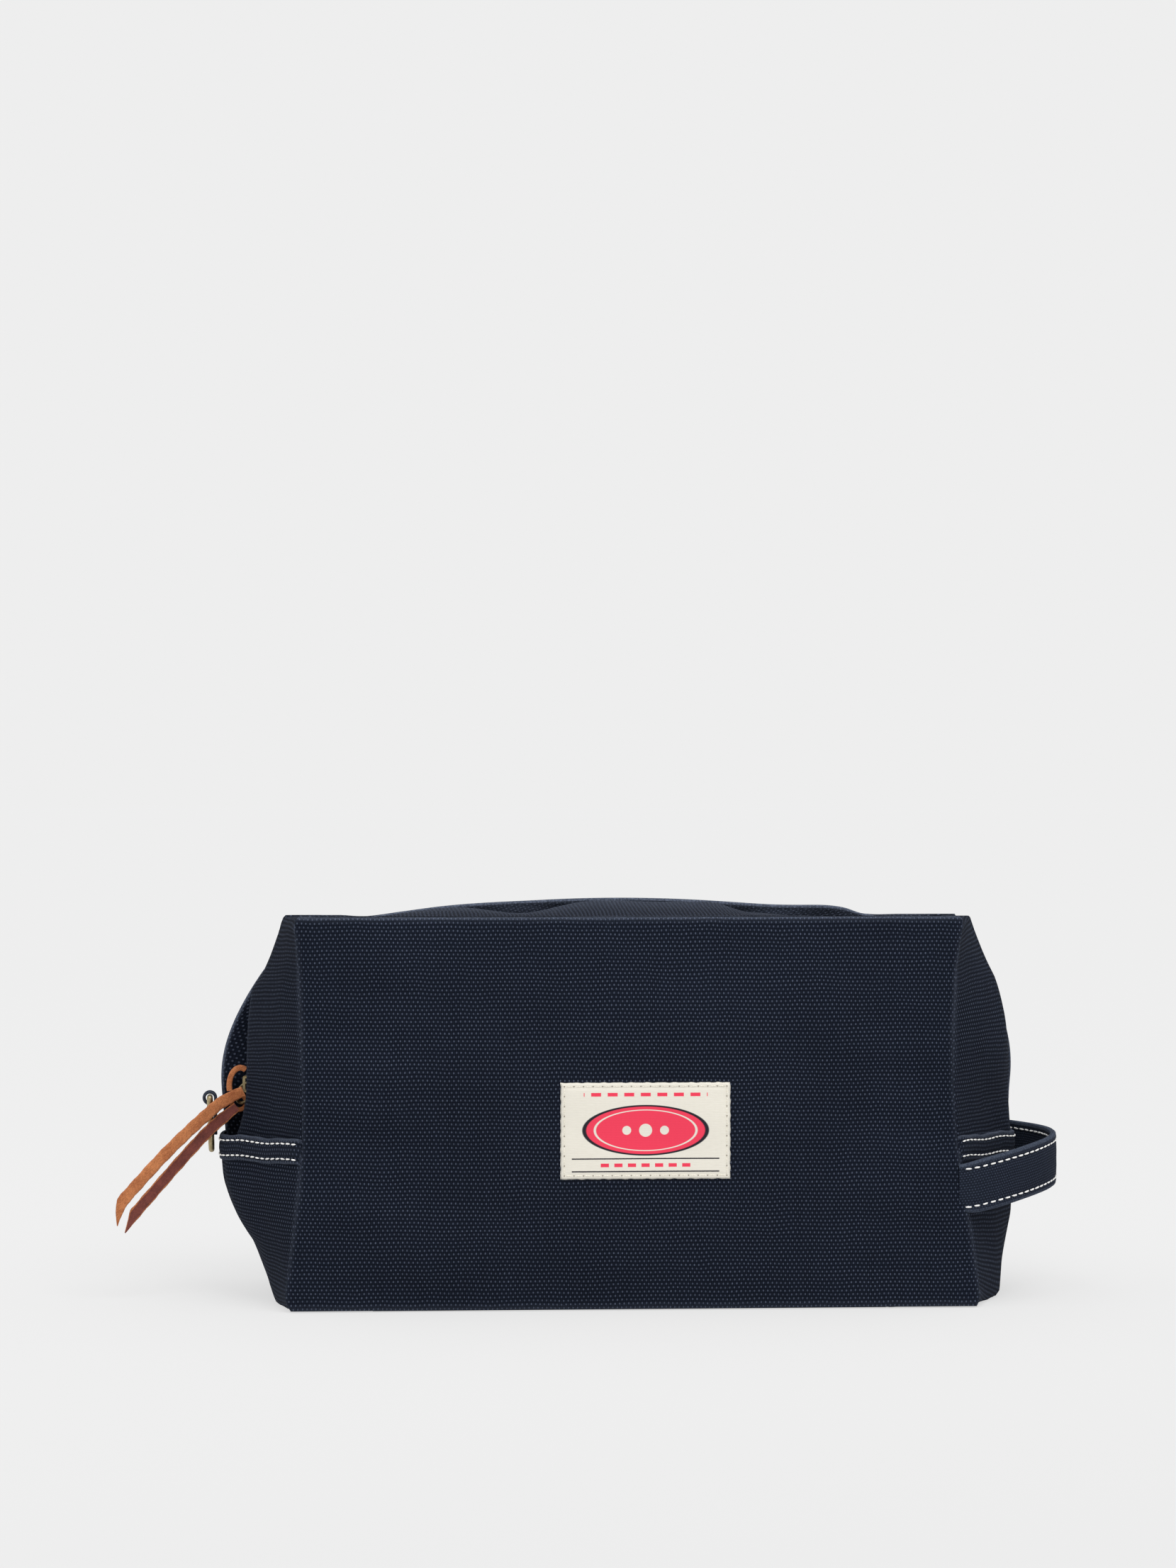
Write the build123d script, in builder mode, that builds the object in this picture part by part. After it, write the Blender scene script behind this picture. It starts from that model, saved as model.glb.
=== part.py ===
"""Canvas wash bag for a shaving kit: a boxy zipped pouch, lined, with a grab handle and a D-ring.

Frame: millimetres, +X along the bag towards the grab handle, +Y from the labelled front face to
the back face, +Z up, origin on the floor under the middle of the bag.

The zip runs along the middle of the top and over both ends down to a band. Its run is three
tangent stretches: straight up from the band, round a shoulder, then over a shallow crown.
"""
import os
from math import asin, cos, pi, radians, sin

from build123d import *

os.makedirs("parts", exist_ok=True)

# ---- driving dimensions -------------------------------------------------------------------
DEPTH = 106.0  # front face to back face
EDGE_Z = 133.0  # height of the long top edges
TOP_HALF = 114.0  # half length between corner seams, at the top
WAIST_HALF = 111.0  # the same at the end bands, where the seams pull in
BASE_HALF = 118.5  # the same at the floor
BAND_Z = 53.0  # height of the end seam, which the band covers
BAND_WIDE, BAND_T = 8.6, 1.2
SHOULDER_Z = 72.0  # height where the zip starts to turn in
CROWN_SLOPE = radians(10)  # slope where shoulder and crown meet
LIP_TIP, LIP_R = 139.0, 60.0  # outer line of the canvas lips: furthest point, shoulder radius
CHAIN_TIP, CHAIN_R = 124.0, 56.0  # line of the zip chain, set back inside the lips
LIP_Y = 5.5  # half the gap between the lips
LOWER_R = 52.0  # radius where the base turns up into the ends
CORNER_R = 5.0  # rounding where a corner seam meets a long edge
FOLD = 4.0  # width of the folded long edge
CANVAS, LINING, GAP = 1.4, 0.6, 0.3  # cloth thicknesses, and the space between layers
FLAP_HALF = 75.0  # half length of the mouth flaps
RUNNING = 0.6  # clearance between a flap and the cloth beside it
LEFT_SETBACK, RIGHT_SETBACK = 9.0, 2.5  # how far the front lip lies inside the back lip

TAPE_T, TAPE_HALF = 0.7, 14.0  # zip tape: thickness, and reach from the middle
TOOTH_PITCH, TOOTH_LONG = 2.6, 1.0  # along the chain
TOOTH_WIDE, TOOTH_HIGH = 2.6, 3.0  # across the chain, and through the tape
TOOTH_MESH = 0.6  # how far meshed teeth cross the middle
ROW_GAP = 1.6  # gap between the rows on the shoulders, where the slider's web passes
STOP_S = 4.0  # where the zip stops sit, along the zip line from the band

SLIDER_LOW, SLIDER_HIGH = 6.5, 5.5  # slider ends, below and above its middle
SLIDER_HALF, CHANNEL = 4.6, 2.3  # slider half width, and half the height of its channel
PLATE_T, WEB_T = 1.0, 0.9
EYE_Z = 1.5  # the pull ring's eye, above the slider's middle
RING_R, RING_WIRE = 3.7, 1.2  # pull ring: radius of its centreline, wire diameter
RING_LEAN, RING_SKEW = radians(31), radians(35)  # how it hangs off vertical, and its twist

LACE_WIDE, LACE_T = 3.9, 1.8
LACE_Y = -4.2  # middle of both tails where they leave the hitch

LABEL_LONG, LABEL_HIGH, LABEL_T = 58.0, 33.0, 0.8
LABEL_X, LABEL_Z = 4.7, 60.9

D_BAR_X, D_BAR_Z = -142.9, 68.7  # the D-ring's straight bar
D_WIRE, D_HALF, D_DROP = 2.0, 4.3, 20.0  # wire, half the straight side, height of the D
D_Y = 1.2  # the D-ring and its tab sit a little behind the middle, clear of the lace
TAB_WIDE = 6.0

STRAP_WIDE, STRAP_T = 18.0, 2.4
STRAP_REACH, STRAP_START_X = 154.0, 115.8  # furthest point, and where it leaves the seam
STRAP_FRONT_Z, STRAP_BACK_Z = 41.0, 49.0
ROOT_LONG, ROOT_GAP = 4.0, 3.4  # sewn ends, and the bending length left free beside them

SEAM_Y = DEPTH / 2 - CANVAS  # inner face of the front panel
HINGE_Y = DEPTH / 2 - FOLD  # line about which a mouth flap opens
WALL_GAP = 0.6  # left between a lip's inner wall and the zip tape


# ---- lines of the bag ---------------------------------------------------------------------
def lip_setback(f, most):
    """How far the front lip is pushed in, a fraction f along the zip line from the band."""
    return most * sin(pi * (f + 0.1) / 0.6) if f < 0.5 else 0.0


def crown_radius(tip, radius):
    """Radius of the crown that meets a shoulder of this radius at CROWN_SLOPE, centred at x = 0."""
    return (tip - radius + radius * sin(CROWN_SLOPE)) / sin(CROWN_SLOPE)


def crown_centre_z(tip, radius):
    """Height of that crown's centre."""
    return SHOULDER_Z + (radius - crown_radius(tip, radius)) * cos(CROWN_SLOPE)


def crown_z(x, tip, radius):
    """Height of the crown above the floor at x."""
    big = crown_radius(tip, radius)
    return crown_centre_z(tip, radius) + (big**2 - x**2) ** 0.5


def zip_line(s, tip, radius):
    """Point and outward normal on the left half of a zip line, s along it from the end band."""
    rise, turn = SHOULDER_Z - BAND_Z, pi / 2 - CROWN_SLOPE
    if s <= rise:
        return Vector(-tip, 0, BAND_Z + s), Vector(-1, 0, 0)
    if s <= rise + radius * turn:
        angle = pi - (s - rise) / radius
        centre, r = Vector(radius - tip, 0, SHOULDER_Z), radius
    else:
        r = crown_radius(tip, radius)
        angle = pi / 2 + CROWN_SLOPE - (s - rise - radius * turn) / r
        centre = Vector(0, 0, crown_centre_z(tip, radius))
    normal = Vector(cos(angle), 0, sin(angle))
    return centre + normal * r, normal


def zip_length(tip, radius, x_end=-FLAP_HALF):
    """Length of a zip line from the end band to x_end on the crown."""
    big = crown_radius(tip, radius)
    shoulder = radius * (pi / 2 - CROWN_SLOPE)
    return SHOULDER_Z - BAND_Z + shoulder + big * (CROWN_SLOPE - asin(-x_end / big))


def corner_path(s, half_top_or_base, end_z, end_x, end_y):
    """Point on the cloth's outer edge: along a corner seam from the band, round, then along a long edge.

    Works upwards or downwards, whichever side of the band end_z lies on.
    """
    up = 1 if end_z > BAND_Z else -1
    straight = abs(end_z - BAND_Z) - CORNER_R
    arc = CORNER_R * pi / 2
    slant = (half_top_or_base - WAIST_HALF) / (straight + CORNER_R)
    if s <= straight:
        return Vector(-WAIST_HALF - slant * s, -SEAM_Y, BAND_Z + up * s)
    if s <= straight + arc:
        angle = (s - straight) / CORNER_R
        x = -half_top_or_base + CORNER_R * (1 - cos(angle))
        y = -SEAM_Y + (SEAM_Y - end_y) * angle / (pi / 2)
        return Vector(x, y, end_z - up * CORNER_R * (1 - sin(angle)))
    x = -half_top_or_base + CORNER_R + s - straight - arc
    return Vector(min(x, end_x), -end_y, end_z)


def corner_length(half_top_or_base, end_z, end_x):
    """Whole length of corner_path."""
    run = half_top_or_base - CORNER_R + end_x
    return abs(end_z - BAND_Z) - CORNER_R + CORNER_R * pi / 2 + run


def stations(end_z, total):
    """Fractions along corner_path at which a ruled end is sectioned, with the corner's own among them."""
    straight = abs(end_z - BAND_Z) - CORNER_R
    a = straight / total
    b = (straight + CORNER_R * pi / 2) / total
    return [a * k / 4 for k in range(5)] + [(a + b) / 2, b] + [b + (1 - b) * k / 3 for k in (1, 2, 3)]


def strip_section(outer_a, outer_b, normal, inset, thickness):
    """Sketch of the cloth between two points, its outer face inset from them along the normal."""
    a, b = outer_a - normal * inset, outer_b - normal * inset
    along = b - a
    plane = Plane(origin=a, x_dir=along, z_dir=along.cross(normal))
    n_x, n_y = normal.dot(plane.x_dir), normal.dot(plane.y_dir)
    with BuildSketch(plane) as section:
        Polygon(
            (0, 0),
            (along.length, 0),
            (along.length - thickness * n_x, -thickness * n_y),
            (-thickness * n_x, -thickness * n_y),
            align=None,
        )
    return section


def zip_profile(tip, radius, inner, outer):
    """Closed XZ sketch between two offsets inwards from a zip line, on the left shoulder."""
    with BuildSketch(Plane.XZ) as profile:
        with BuildLine():
            edges = []
            for inset in (outer, inner):
                start, _ = zip_line(0, tip, radius)
                total = zip_length(tip, radius)
                rise = SHOULDER_Z - BAND_Z
                turn = radius * (pi / 2 - CROWN_SLOPE)
                marks = [rise, rise + turn / 2, rise + turn, (rise + turn + total) / 2, total]
                places = [zip_line(m, tip, radius) for m in marks]
                pts = [(p.X - inset * n.X, p.Z - inset * n.Z) for p, n in places]
                pts.insert(0, (start.X + inset, start.Z))
                Line(pts[0], pts[1])
                ThreePointArc(pts[1], pts[2], pts[3])
                ThreePointArc(pts[3], pts[4], pts[5])
                edges.append(pts)
            Line(edges[0][0], edges[1][0])
            Line(edges[0][-1], edges[1][-1])
        make_face()
    return profile


# ---- builders of repeated cloth pieces ----------------------------------------------------
def shoulder(setback, inset=0.0, thickness=CANVAS, lip_y=LIP_Y, facing=True):
    """Front half of the left end above the band, up to the mouth flap, with its folded lip."""
    zip_total = zip_length(LIP_TIP, LIP_R)
    edge_total = corner_length(TOP_HALF, EDGE_Z, -FLAP_HALF)
    with BuildPart() as piece:
        for f in stations(EDGE_Z, edge_total):
            lip, normal = zip_line(f * zip_total, LIP_TIP, LIP_R)
            lip = lip - normal * lip_setback(f, setback) + Vector(0, -LIP_Y, 0)
            edge = corner_path(f * edge_total, TOP_HALF, EDGE_Z, -FLAP_HALF, HINGE_Y)
            lip = edge + (lip - edge) * ((edge.Y + lip_y) / (edge.Y + LIP_Y))
            if inset:
                edge = edge + Vector(0, GAP, 0)
            section = strip_section(edge, lip, normal, inset, thickness)
            add(section.sketch)
        loft(ruled=True)
    if not facing:
        return piece
    with BuildPart() as faced:
        add(piece.part)
        add(lip_facing(setback))
    return faced


def lip_facing(setback):
    """Wall of folded canvas from the lip down to the zip tape, on the front side of the left end."""
    zip_total = zip_length(LIP_TIP, LIP_R)
    chain_total = zip_length(CHAIN_TIP, CHAIN_R)
    outer, inner = [], []
    for f in stations(EDGE_Z, corner_length(TOP_HALF, EDGE_Z, -FLAP_HALF)):
        lip, normal = zip_line(f * zip_total, LIP_TIP, LIP_R)
        lip = lip - normal * (lip_setback(f, setback) + CANVAS / 2)
        tape, tape_normal = zip_line(f * chain_total, CHAIN_TIP, CHAIN_R)
        tape = tape + tape_normal * (TAPE_T / 2 + WALL_GAP)
        outer.append((lip.X, lip.Z))
        inner.append((tape.X, tape.Z))
    with BuildPart() as wall:
        with BuildSketch(Plane.XZ.offset(LIP_Y)):
            with BuildLine():
                Polyline(*outer, *reversed(inner), close=True)
            make_face()
        extrude(amount=CANVAS)
    return wall.part


def mouth_flap(inset=0.0, thickness=CANVAS, facing=True):
    """Front half of the top between the shoulders: from the folded long edge to the lip."""
    reach = FLAP_HALF - (RUNNING if facing else 2 * RUNNING)
    hinge = HINGE_Y - (RUNNING if facing else 2 * RUNNING)
    lip_y = LIP_Y if facing else LIP_Y + CANVAS + GAP
    with BuildPart() as piece:
        for k in range(-3, 4):
            x = reach * k / 3
            rise = (crown_z(x, LIP_TIP, LIP_R) - EDGE_Z) * (hinge - lip_y) / (hinge - LIP_Y)
            edge_z = EDGE_Z - inset
            lip_z = edge_z + rise
            outline = [(-hinge, edge_z), (-lip_y, lip_z)]
            if facing:
                tape_z = crown_z(x, CHAIN_TIP, CHAIN_R) + TAPE_T / 2 + WALL_GAP
                outline += [(-lip_y, tape_z), (-lip_y - thickness, tape_z)]
                outline += [(-lip_y - thickness, lip_z - thickness)]
            else:
                outline += [(-lip_y, lip_z - thickness)]
            outline += [(-hinge, edge_z - thickness)]
            with BuildSketch(Plane.YZ.offset(x)):
                Polygon(*outline, align=None)
        loft(ruled=True)
    return piece


def lower_end(inset, thickness):
    """Front half of the left end below the band, turning in under the bag."""
    drop = BAND_Z - LOWER_R
    turn = LOWER_R * pi / 2
    flat_x = LOWER_R - LIP_TIP
    edge_total = corner_length(BASE_HALF, 0, flat_x)
    with BuildPart() as piece:
        for f in stations(0, edge_total):
            s = f * (drop + turn)
            angle = pi + max(s - drop, 0) / LOWER_R
            normal = Vector(cos(angle), 0, sin(angle))
            tip = Vector(flat_x, -LIP_Y, LOWER_R) + normal * LOWER_R
            if s < drop:
                tip = tip + Vector(0, 0, drop - s)
            edge = corner_path(f * edge_total, BASE_HALF, 0, flat_x, SEAM_Y)
            if inset:
                edge = edge + Vector(0, GAP, 0)
            add(strip_section(edge, tip, normal, inset, thickness).sketch)
        loft(ruled=True)
    return piece


def base_profile(inset, thickness):
    """Closed XZ sketch of the cloth along the middle: down the left end, along the floor, up the right."""
    flat_x = LIP_TIP - LOWER_R
    with BuildSketch(Plane.XZ.offset(-LIP_Y)) as profile:
        with BuildLine():
            ends = []
            for depth in (inset, inset + thickness):
                r = LOWER_R - depth
                for side in (-1, 1):
                    low, high = (side * flat_x, depth), (side * (flat_x + r), LOWER_R)
                    middle = (side * (flat_x + r * sin(pi / 4)), LOWER_R - r * cos(pi / 4))
                    top = (side * (flat_x + r), BAND_Z)
                    ThreePointArc(low, middle, high)
                    Line(high, top)
                    ends.append(top)
                Line((-flat_x, depth), (flat_x, depth))
            Line(ends[0], ends[2])
            Line(ends[1], ends[3])
        make_face()
    return profile


def base_cloth(inset, thickness):
    """Base panel in one piece with both lower ends, like the real pattern piece."""
    flat_x = LIP_TIP - LOWER_R
    half_y = SEAM_Y - (GAP if inset else 0)
    quarter = lower_end(inset, thickness).part
    with BuildPart() as piece:
        with BuildSketch(Plane.XY.offset(inset)):
            Rectangle(2 * flat_x, 2 * half_y)
        extrude(amount=thickness)
        with BuildSketch(Plane.XZ.offset(-LIP_Y)):
            add(base_profile(inset, thickness).sketch.moved(Location((0, 0, 0))))
        extrude(amount=2 * LIP_Y)
        for about in (None, Plane.XZ, Plane.YZ, "both"):
            if about is None:
                add(quarter)
            elif about == "both":
                add(quarter.mirror(Plane.XZ).mirror(Plane.YZ))
            else:
                add(quarter.mirror(about))
    return piece


def face_panel(y_outer, thickness, inset=0.0, fold=True):
    """Upright front face between the corner seams, with the folded long edge at its top."""
    with BuildPart() as piece:
        with BuildSketch(Plane.XZ.offset(y_outer)):
            with BuildLine():
                low = (BASE_HALF - inset, CORNER_R + inset)
                waist = (WAIST_HALF - inset, BAND_Z)
                high = (TOP_HALF - inset, EDGE_Z - CORNER_R)
                foot = (BASE_HALF - CORNER_R - inset, inset)
                head = (TOP_HALF - CORNER_R - inset, EDGE_Z - inset)
                for side in (1, -1):
                    rim = [(side * x, z) for x, z in (foot, low, waist, high, head)]
                    RadiusArc(rim[0], rim[1], -side * CORNER_R)
                    ThreePointArc(rim[1], rim[2], rim[3])
                    RadiusArc(rim[3], rim[4], -side * CORNER_R)
                Line(foot, (-foot[0], foot[1]))
                Line(head, (-head[0], head[1]))
            make_face()
        extrude(amount=-thickness)
        if fold:
            long_half = TOP_HALF - 2 * CORNER_R
            with BuildSketch(Plane.YZ.offset(-long_half)):
                with Locations((-y_outer + thickness, EDGE_Z - thickness)):
                    Rectangle(FOLD - thickness, thickness, align=(Align.MIN, Align.MIN))
            extrude(amount=2 * long_half)
            outer_edge = piece.edges().filter_by(Axis.X).sort_by(Axis.Z)[-2:].sort_by(Axis.Y)[0]
            fillet(outer_edge, thickness * 0.9)
    return piece


def zip_tape():
    """Front zip tape on the left shoulder."""
    with BuildPart() as piece:
        with BuildSketch(Plane.XZ.offset(ROW_GAP / 2 + TOOTH_WIDE)):
            add(zip_profile(CHAIN_TIP, CHAIN_R, TAPE_T / 2, -TAPE_T / 2).sketch)
        extrude(amount=TAPE_HALF - ROW_GAP / 2 - TOOTH_WIDE)
    return piece


def tooth(s, near, far):
    """One metal tooth on the left half of the chain, from near to far across it."""
    point, normal = zip_line(s, CHAIN_TIP, CHAIN_R)
    place = Plane(origin=point, x_dir=(normal.Z, 0, -normal.X), z_dir=normal)
    with BuildPart() as piece:
        with BuildSketch(place.offset(-TOOTH_HIGH / 2)):
            with Locations((0, (near + far) / 2)):
                Rectangle(TOOTH_LONG, abs(far - near))
        extrude(amount=TOOTH_HIGH)
    return piece.part


def export(piece, name):
    """Labels a finished piece and writes its STEP file."""
    part = piece if isinstance(piece, (Part, Compound)) else piece.part
    part.label = name
    export_step(part, f"parts/{name}.step")


def mirrored(piece, *planes):
    """The same piece on the other side of the given planes."""
    part = piece.part
    for plane in planes:
        part = part.mirror(plane)
    return part


# ---- canvas shell -------------------------------------------------------------------------
front_panel = face_panel(DEPTH / 2, CANVAS)
export(front_panel, "front_panel")
export(mirrored(front_panel, Plane.XZ), "back_panel")
bottom_panel = base_cloth(0.0, CANVAS)
export(bottom_panel, "bottom_panel")

left_front = shoulder(LEFT_SETBACK)
right_front = shoulder(RIGHT_SETBACK)
back_shoulder = shoulder(0.0)
export(left_front, "shoulder_left_front")
export(mirrored(back_shoulder, Plane.XZ), "shoulder_left_back")
export(mirrored(right_front, Plane.YZ), "shoulder_right_front")
export(mirrored(back_shoulder, Plane.XZ, Plane.YZ), "shoulder_right_back")

front_flap = mouth_flap()
export(front_flap, "mouth_flap_front")
export(mirrored(front_flap, Plane.XZ), "mouth_flap_back")

# ---- lining -------------------------------------------------------------------------------
LINING_IN = CANVAS + GAP
LINED_LIP = LIP_Y + CANVAS + GAP
lining_face = face_panel(DEPTH / 2 - LINING_IN, LINING, inset=LINING_IN + 2.2, fold=False)
export(lining_face, "lining_front")
export(mirrored(lining_face, Plane.XZ), "lining_back")
export(base_cloth(LINING_IN, LINING), "lining_base")
for side, setback in (("left", LEFT_SETBACK), ("right", RIGHT_SETBACK)):
    flip = () if side == "left" else (Plane.YZ,)
    front_lining = shoulder(setback, LINING_IN, LINING, LINED_LIP, facing=False)
    back_lining = shoulder(0.0, LINING_IN, LINING, LINED_LIP, facing=False)
    export(mirrored(front_lining, *flip), f"lining_shoulder_{side}_front")
    export(mirrored(back_lining, Plane.XZ, *flip), f"lining_shoulder_{side}_back")
lining_flap = mouth_flap(LINING_IN, LINING, facing=False)
export(lining_flap, "lining_flap_front")
export(mirrored(lining_flap, Plane.XZ), "lining_flap_back")

# ---- end bands ----------------------------------------------------------------------------
with BuildPart() as end_band:
    with BuildSketch(Plane.XY.offset(BAND_Z - BAND_WIDE / 2)):
        shell_line = [(-WAIST_HALF - 1.1, -SEAM_Y), (-LIP_TIP - 0.1, -LIP_Y)]
        shell_line += [(x, -y) for x, y in reversed(shell_line)]
        Polygon(*shell_line, *[(x - BAND_T, y) for x, y in reversed(shell_line)], align=None)
    extrude(amount=BAND_WIDE)
export(end_band, "end_band_left")
export(mirrored(end_band, Plane.YZ), "end_band_right")

# ---- zip ----------------------------------------------------------------------------------
shoulder_tape = zip_tape()
chain_total = zip_length(CHAIN_TIP, CHAIN_R)
ROOT_Y = ROW_GAP / 2
with BuildPart() as front_teeth:
    count = int((chain_total - STOP_S - 4.0) / TOOTH_PITCH)
    for k in range(count):
        add(tooth(STOP_S + 4.0 + k * TOOTH_PITCH, -ROOT_Y, -ROOT_Y - TOOTH_WIDE))
with BuildPart() as back_teeth:
    for k in range(count):
        add(tooth(STOP_S + 4.0 + (k + 0.5) * TOOTH_PITCH, ROOT_Y, ROOT_Y + TOOTH_WIDE))
for side in ("left", "right"):
    flip = () if side == "left" else (Plane.YZ,)
    export(mirrored(shoulder_tape, *flip), f"zip_tape_{side}_front")
    export(mirrored(shoulder_tape, Plane.XZ, *flip), f"zip_tape_{side}_back")
    export(mirrored(front_teeth, *flip), f"zip_teeth_{side}_front")
    export(mirrored(back_teeth, *flip), f"zip_teeth_{side}_back")

reach = FLAP_HALF - RUNNING
big_r = crown_radius(CHAIN_TIP, CHAIN_R)
big_z = crown_centre_z(CHAIN_TIP, CHAIN_R)
with BuildPart() as flap_tape:
    with BuildSketch(Plane.XZ.offset(TOOTH_WIDE - TOOTH_MESH)):
        with BuildLine():
            ends = []
            for r in (big_r - TAPE_T / 2, big_r + TAPE_T / 2):
                side_z = big_z + (r**2 - reach**2) ** 0.5
                ThreePointArc((-reach, side_z), (0, big_z + r), (reach, side_z))
                ends.append(side_z)
            for x in (-reach, reach):
                Line((x, ends[0]), (x, ends[1]))
        make_face()
    extrude(amount=TAPE_HALF - TOOTH_WIDE + TOOTH_MESH)
export(flap_tape, "zip_tape_flap_front")
export(mirrored(flap_tape, Plane.XZ), "zip_tape_flap_back")

flap_count = int(2 * (reach - TOOTH_PITCH) / TOOTH_PITCH)
for name, shift, y_side in (("front", 0.0, -1), ("back", 0.5, 1)):
    with BuildPart() as flap_teeth:
        for k in range(flap_count):
            x = (k + shift - (flap_count - 1) / 2) * TOOTH_PITCH
            with Locations((x, -y_side * TOOTH_MESH, crown_z(x, CHAIN_TIP, CHAIN_R))):
                row_side = Align.MIN if y_side > 0 else Align.MAX
                Box(TOOTH_LONG, TOOTH_WIDE, TOOTH_HIGH, align=(Align.CENTER, row_side, Align.CENTER))
    export(flap_teeth, f"zip_teeth_flap_{name}")

for name, y_side in (("front", -1), ("back", 1)):
    with BuildPart() as stop:
        with Locations((-CHAIN_TIP, y_side * (ROOT_Y + 1.3), BAND_Z + STOP_S)):
            Box(TOOTH_HIGH, 2.4, 4.0)
    export(stop, f"zip_stop_left_{name}")
with BuildPart() as end_stop:
    with Locations((CHAIN_TIP, 0, BAND_Z + STOP_S)):
        Box(TOOTH_HIGH, 6.4, 5.0)
    fillet(end_stop.edges().filter_by(Axis.X), 0.8)
export(end_stop, "zip_stop_right")

# ---- slider, made at the foot of the left shoulder -----------------------------------------
middle_z = (SLIDER_HIGH - SLIDER_LOW) / 2
slider_long = SLIDER_HIGH + SLIDER_LOW
flange_in = SLIDER_HALF - PLATE_T
tape_clear = TAPE_T / 2 + 0.7
with BuildPart() as slider:
    with Locations((-CHAIN_TIP, 0, SHOULDER_Z + middle_z)):
        for out in (-1, 1):
            with Locations((out * (CHANNEL + PLATE_T / 2), 0, 0)):
                Box(PLATE_T, 2 * SLIDER_HALF, slider_long)
            for y_side in (-1, 1):
                with Locations((out * (CHANNEL + tape_clear) / 2, y_side * (SLIDER_HALF + flange_in) / 2, 0)):
                    Box(CHANNEL - tape_clear, PLATE_T, slider_long)
    with Locations((-CHAIN_TIP, 0, SHOULDER_Z + SLIDER_HIGH - 1.5)):
        Box(2 * CHANNEL, WEB_T, 3.0)
export(slider, "slider_body")

plate_x = -CHAIN_TIP - CHANNEL - PLATE_T
eye_z = SHOULDER_Z + EYE_Z
BRIDGE_T, EYE_WIDE, EYE_HIGH = 0.9, 4.0, 3.3
with BuildPart() as bridge:
    with BuildSketch(Plane.XZ.offset(-0.7)):
        with Locations((plate_x - (EYE_HIGH + BRIDGE_T) / 2, eye_z)):
            Rectangle(EYE_HIGH + BRIDGE_T, EYE_WIDE + 2 * BRIDGE_T)
        with Locations((plate_x - EYE_HIGH / 2, eye_z)):
            Rectangle(EYE_HIGH, EYE_WIDE, mode=Mode.SUBTRACT)
    extrude(amount=1.4)
    top_edges = bridge.edges().filter_by(Axis.Y).sort_by(Axis.X)[:2]
    fillet(top_edges, 0.8)
export(bridge, "slider_bridge")

# ---- pull ring, hanging from the bridge ----------------------------------------------------
eye = Vector(plate_x - EYE_HIGH / 2, 0, eye_z)
hang = Vector(-sin(RING_LEAN), 0, -cos(RING_LEAN))
across = Vector(-cos(RING_LEAN) * sin(RING_SKEW), cos(RING_SKEW), sin(RING_LEAN) * sin(RING_SKEW))
ring_plane = Plane(origin=eye + hang * RING_R, x_dir=hang, z_dir=hang.cross(across))
with BuildPart() as pull_ring:
    with BuildSketch(Plane(origin=ring_plane.origin + hang * RING_R, x_dir=hang, z_dir=across)):
        Circle(RING_WIRE / 2)
    revolve(axis=Axis(ring_plane.origin, ring_plane.z_dir), revolution_arc=360)
export(pull_ring, "pull_ring")

# ---- lace: a turn round the pull ring, a raised bight, and two tails ------------------------
hold = eye + hang * 2 * RING_R
TURN_IN, TURN_OUT, TURN_WIDE = 1.7, 3.4, 2.0
with BuildPart() as turn:
    with BuildSketch(Plane.XZ.offset(-TURN_WIDE / 2)):
        with Locations((hold.X, hold.Z)):
            Circle(TURN_OUT)
            Circle(TURN_IN, mode=Mode.SUBTRACT)
    extrude(amount=TURN_WIDE)
export(turn, "lace_turn")

foot = hold + Vector(-TURN_OUT * cos(radians(55)), 0, TURN_OUT * sin(radians(55)))
with BuildPart() as bight:
    with BuildSketch(Plane.XZ.offset(-TURN_WIDE / 2)):
        with BuildLine() as bight_line:
            ThreePointArc(
                (foot.X - 1.0, foot.Z + 1.2),
                (foot.X - 0.9, foot.Z + 5.6),
                (foot.X + 2.6, foot.Z + 8.6),
            )
        trace(line_width=LACE_T)
    extrude(amount=TURN_WIDE)
export(bight, "lace_bight")


def lace_tail(points, facing):
    """Sweeps a flat thong along points, its broad face turned towards the given direction."""
    bends = []
    for a, b, c in zip(points, points[1:], points[2:]):
        before, after = Vector(*b) - Vector(*a), Vector(*c) - Vector(*b)
        half_turn = radians(before.get_angle(after)) / 2
        bends.append(0.45 * min(before.length, after.length) / max(half_turn, 0.01))
    bend = min(bends)
    print("lace bend radius", round(bend, 3))
    with BuildPart() as tail:
        with BuildLine() as path:
            FilletPolyline(*points, radius=bend)
        run = path.wires()[0]
        with BuildSketch(Plane(origin=run @ 0, x_dir=Vector(*facing).cross(run % 0), z_dir=run % 0)):
            Rectangle(LACE_WIDE, LACE_T)
        sweep(transition=Transition.RIGHT, is_frenet=False)
    return tail


UPPER_TAIL = (
    (-131.2, LACE_Y, 71.3),
    (-138.4, LACE_Y - 0.1, 68.0),
    (-142.8, LACE_Y - 4.4, 64.4),
    (-149.2, LACE_Y - 7.2, 58.8),
    (-158.4, LACE_Y - 9.0, 50.0),
    (-167.8, LACE_Y - 10.2, 39.7),
    (-174.2, LACE_Y - 10.8, 32.6),
    (-176.2, LACE_Y - 11.0, 26.4),
)
LOWER_TAIL = (
    (-133.4, LACE_Y, 65.9),
    (-138.4, LACE_Y - 0.2, 61.9),
    (-142.4, LACE_Y - 4.3, 58.8),
    (-150.8, LACE_Y - 5.6, 49.9),
    (-160.4, LACE_Y - 7.2, 39.0),
    (-169.7, LACE_Y - 8.4, 28.4),
    (-173.2, LACE_Y - 8.7, 24.4),
)
export(lace_tail(UPPER_TAIL, (0, -1, 0)), "lace_upper_tail")
export(lace_tail(LOWER_TAIL, (0, -1, 0)), "lace_lower_tail")

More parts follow.
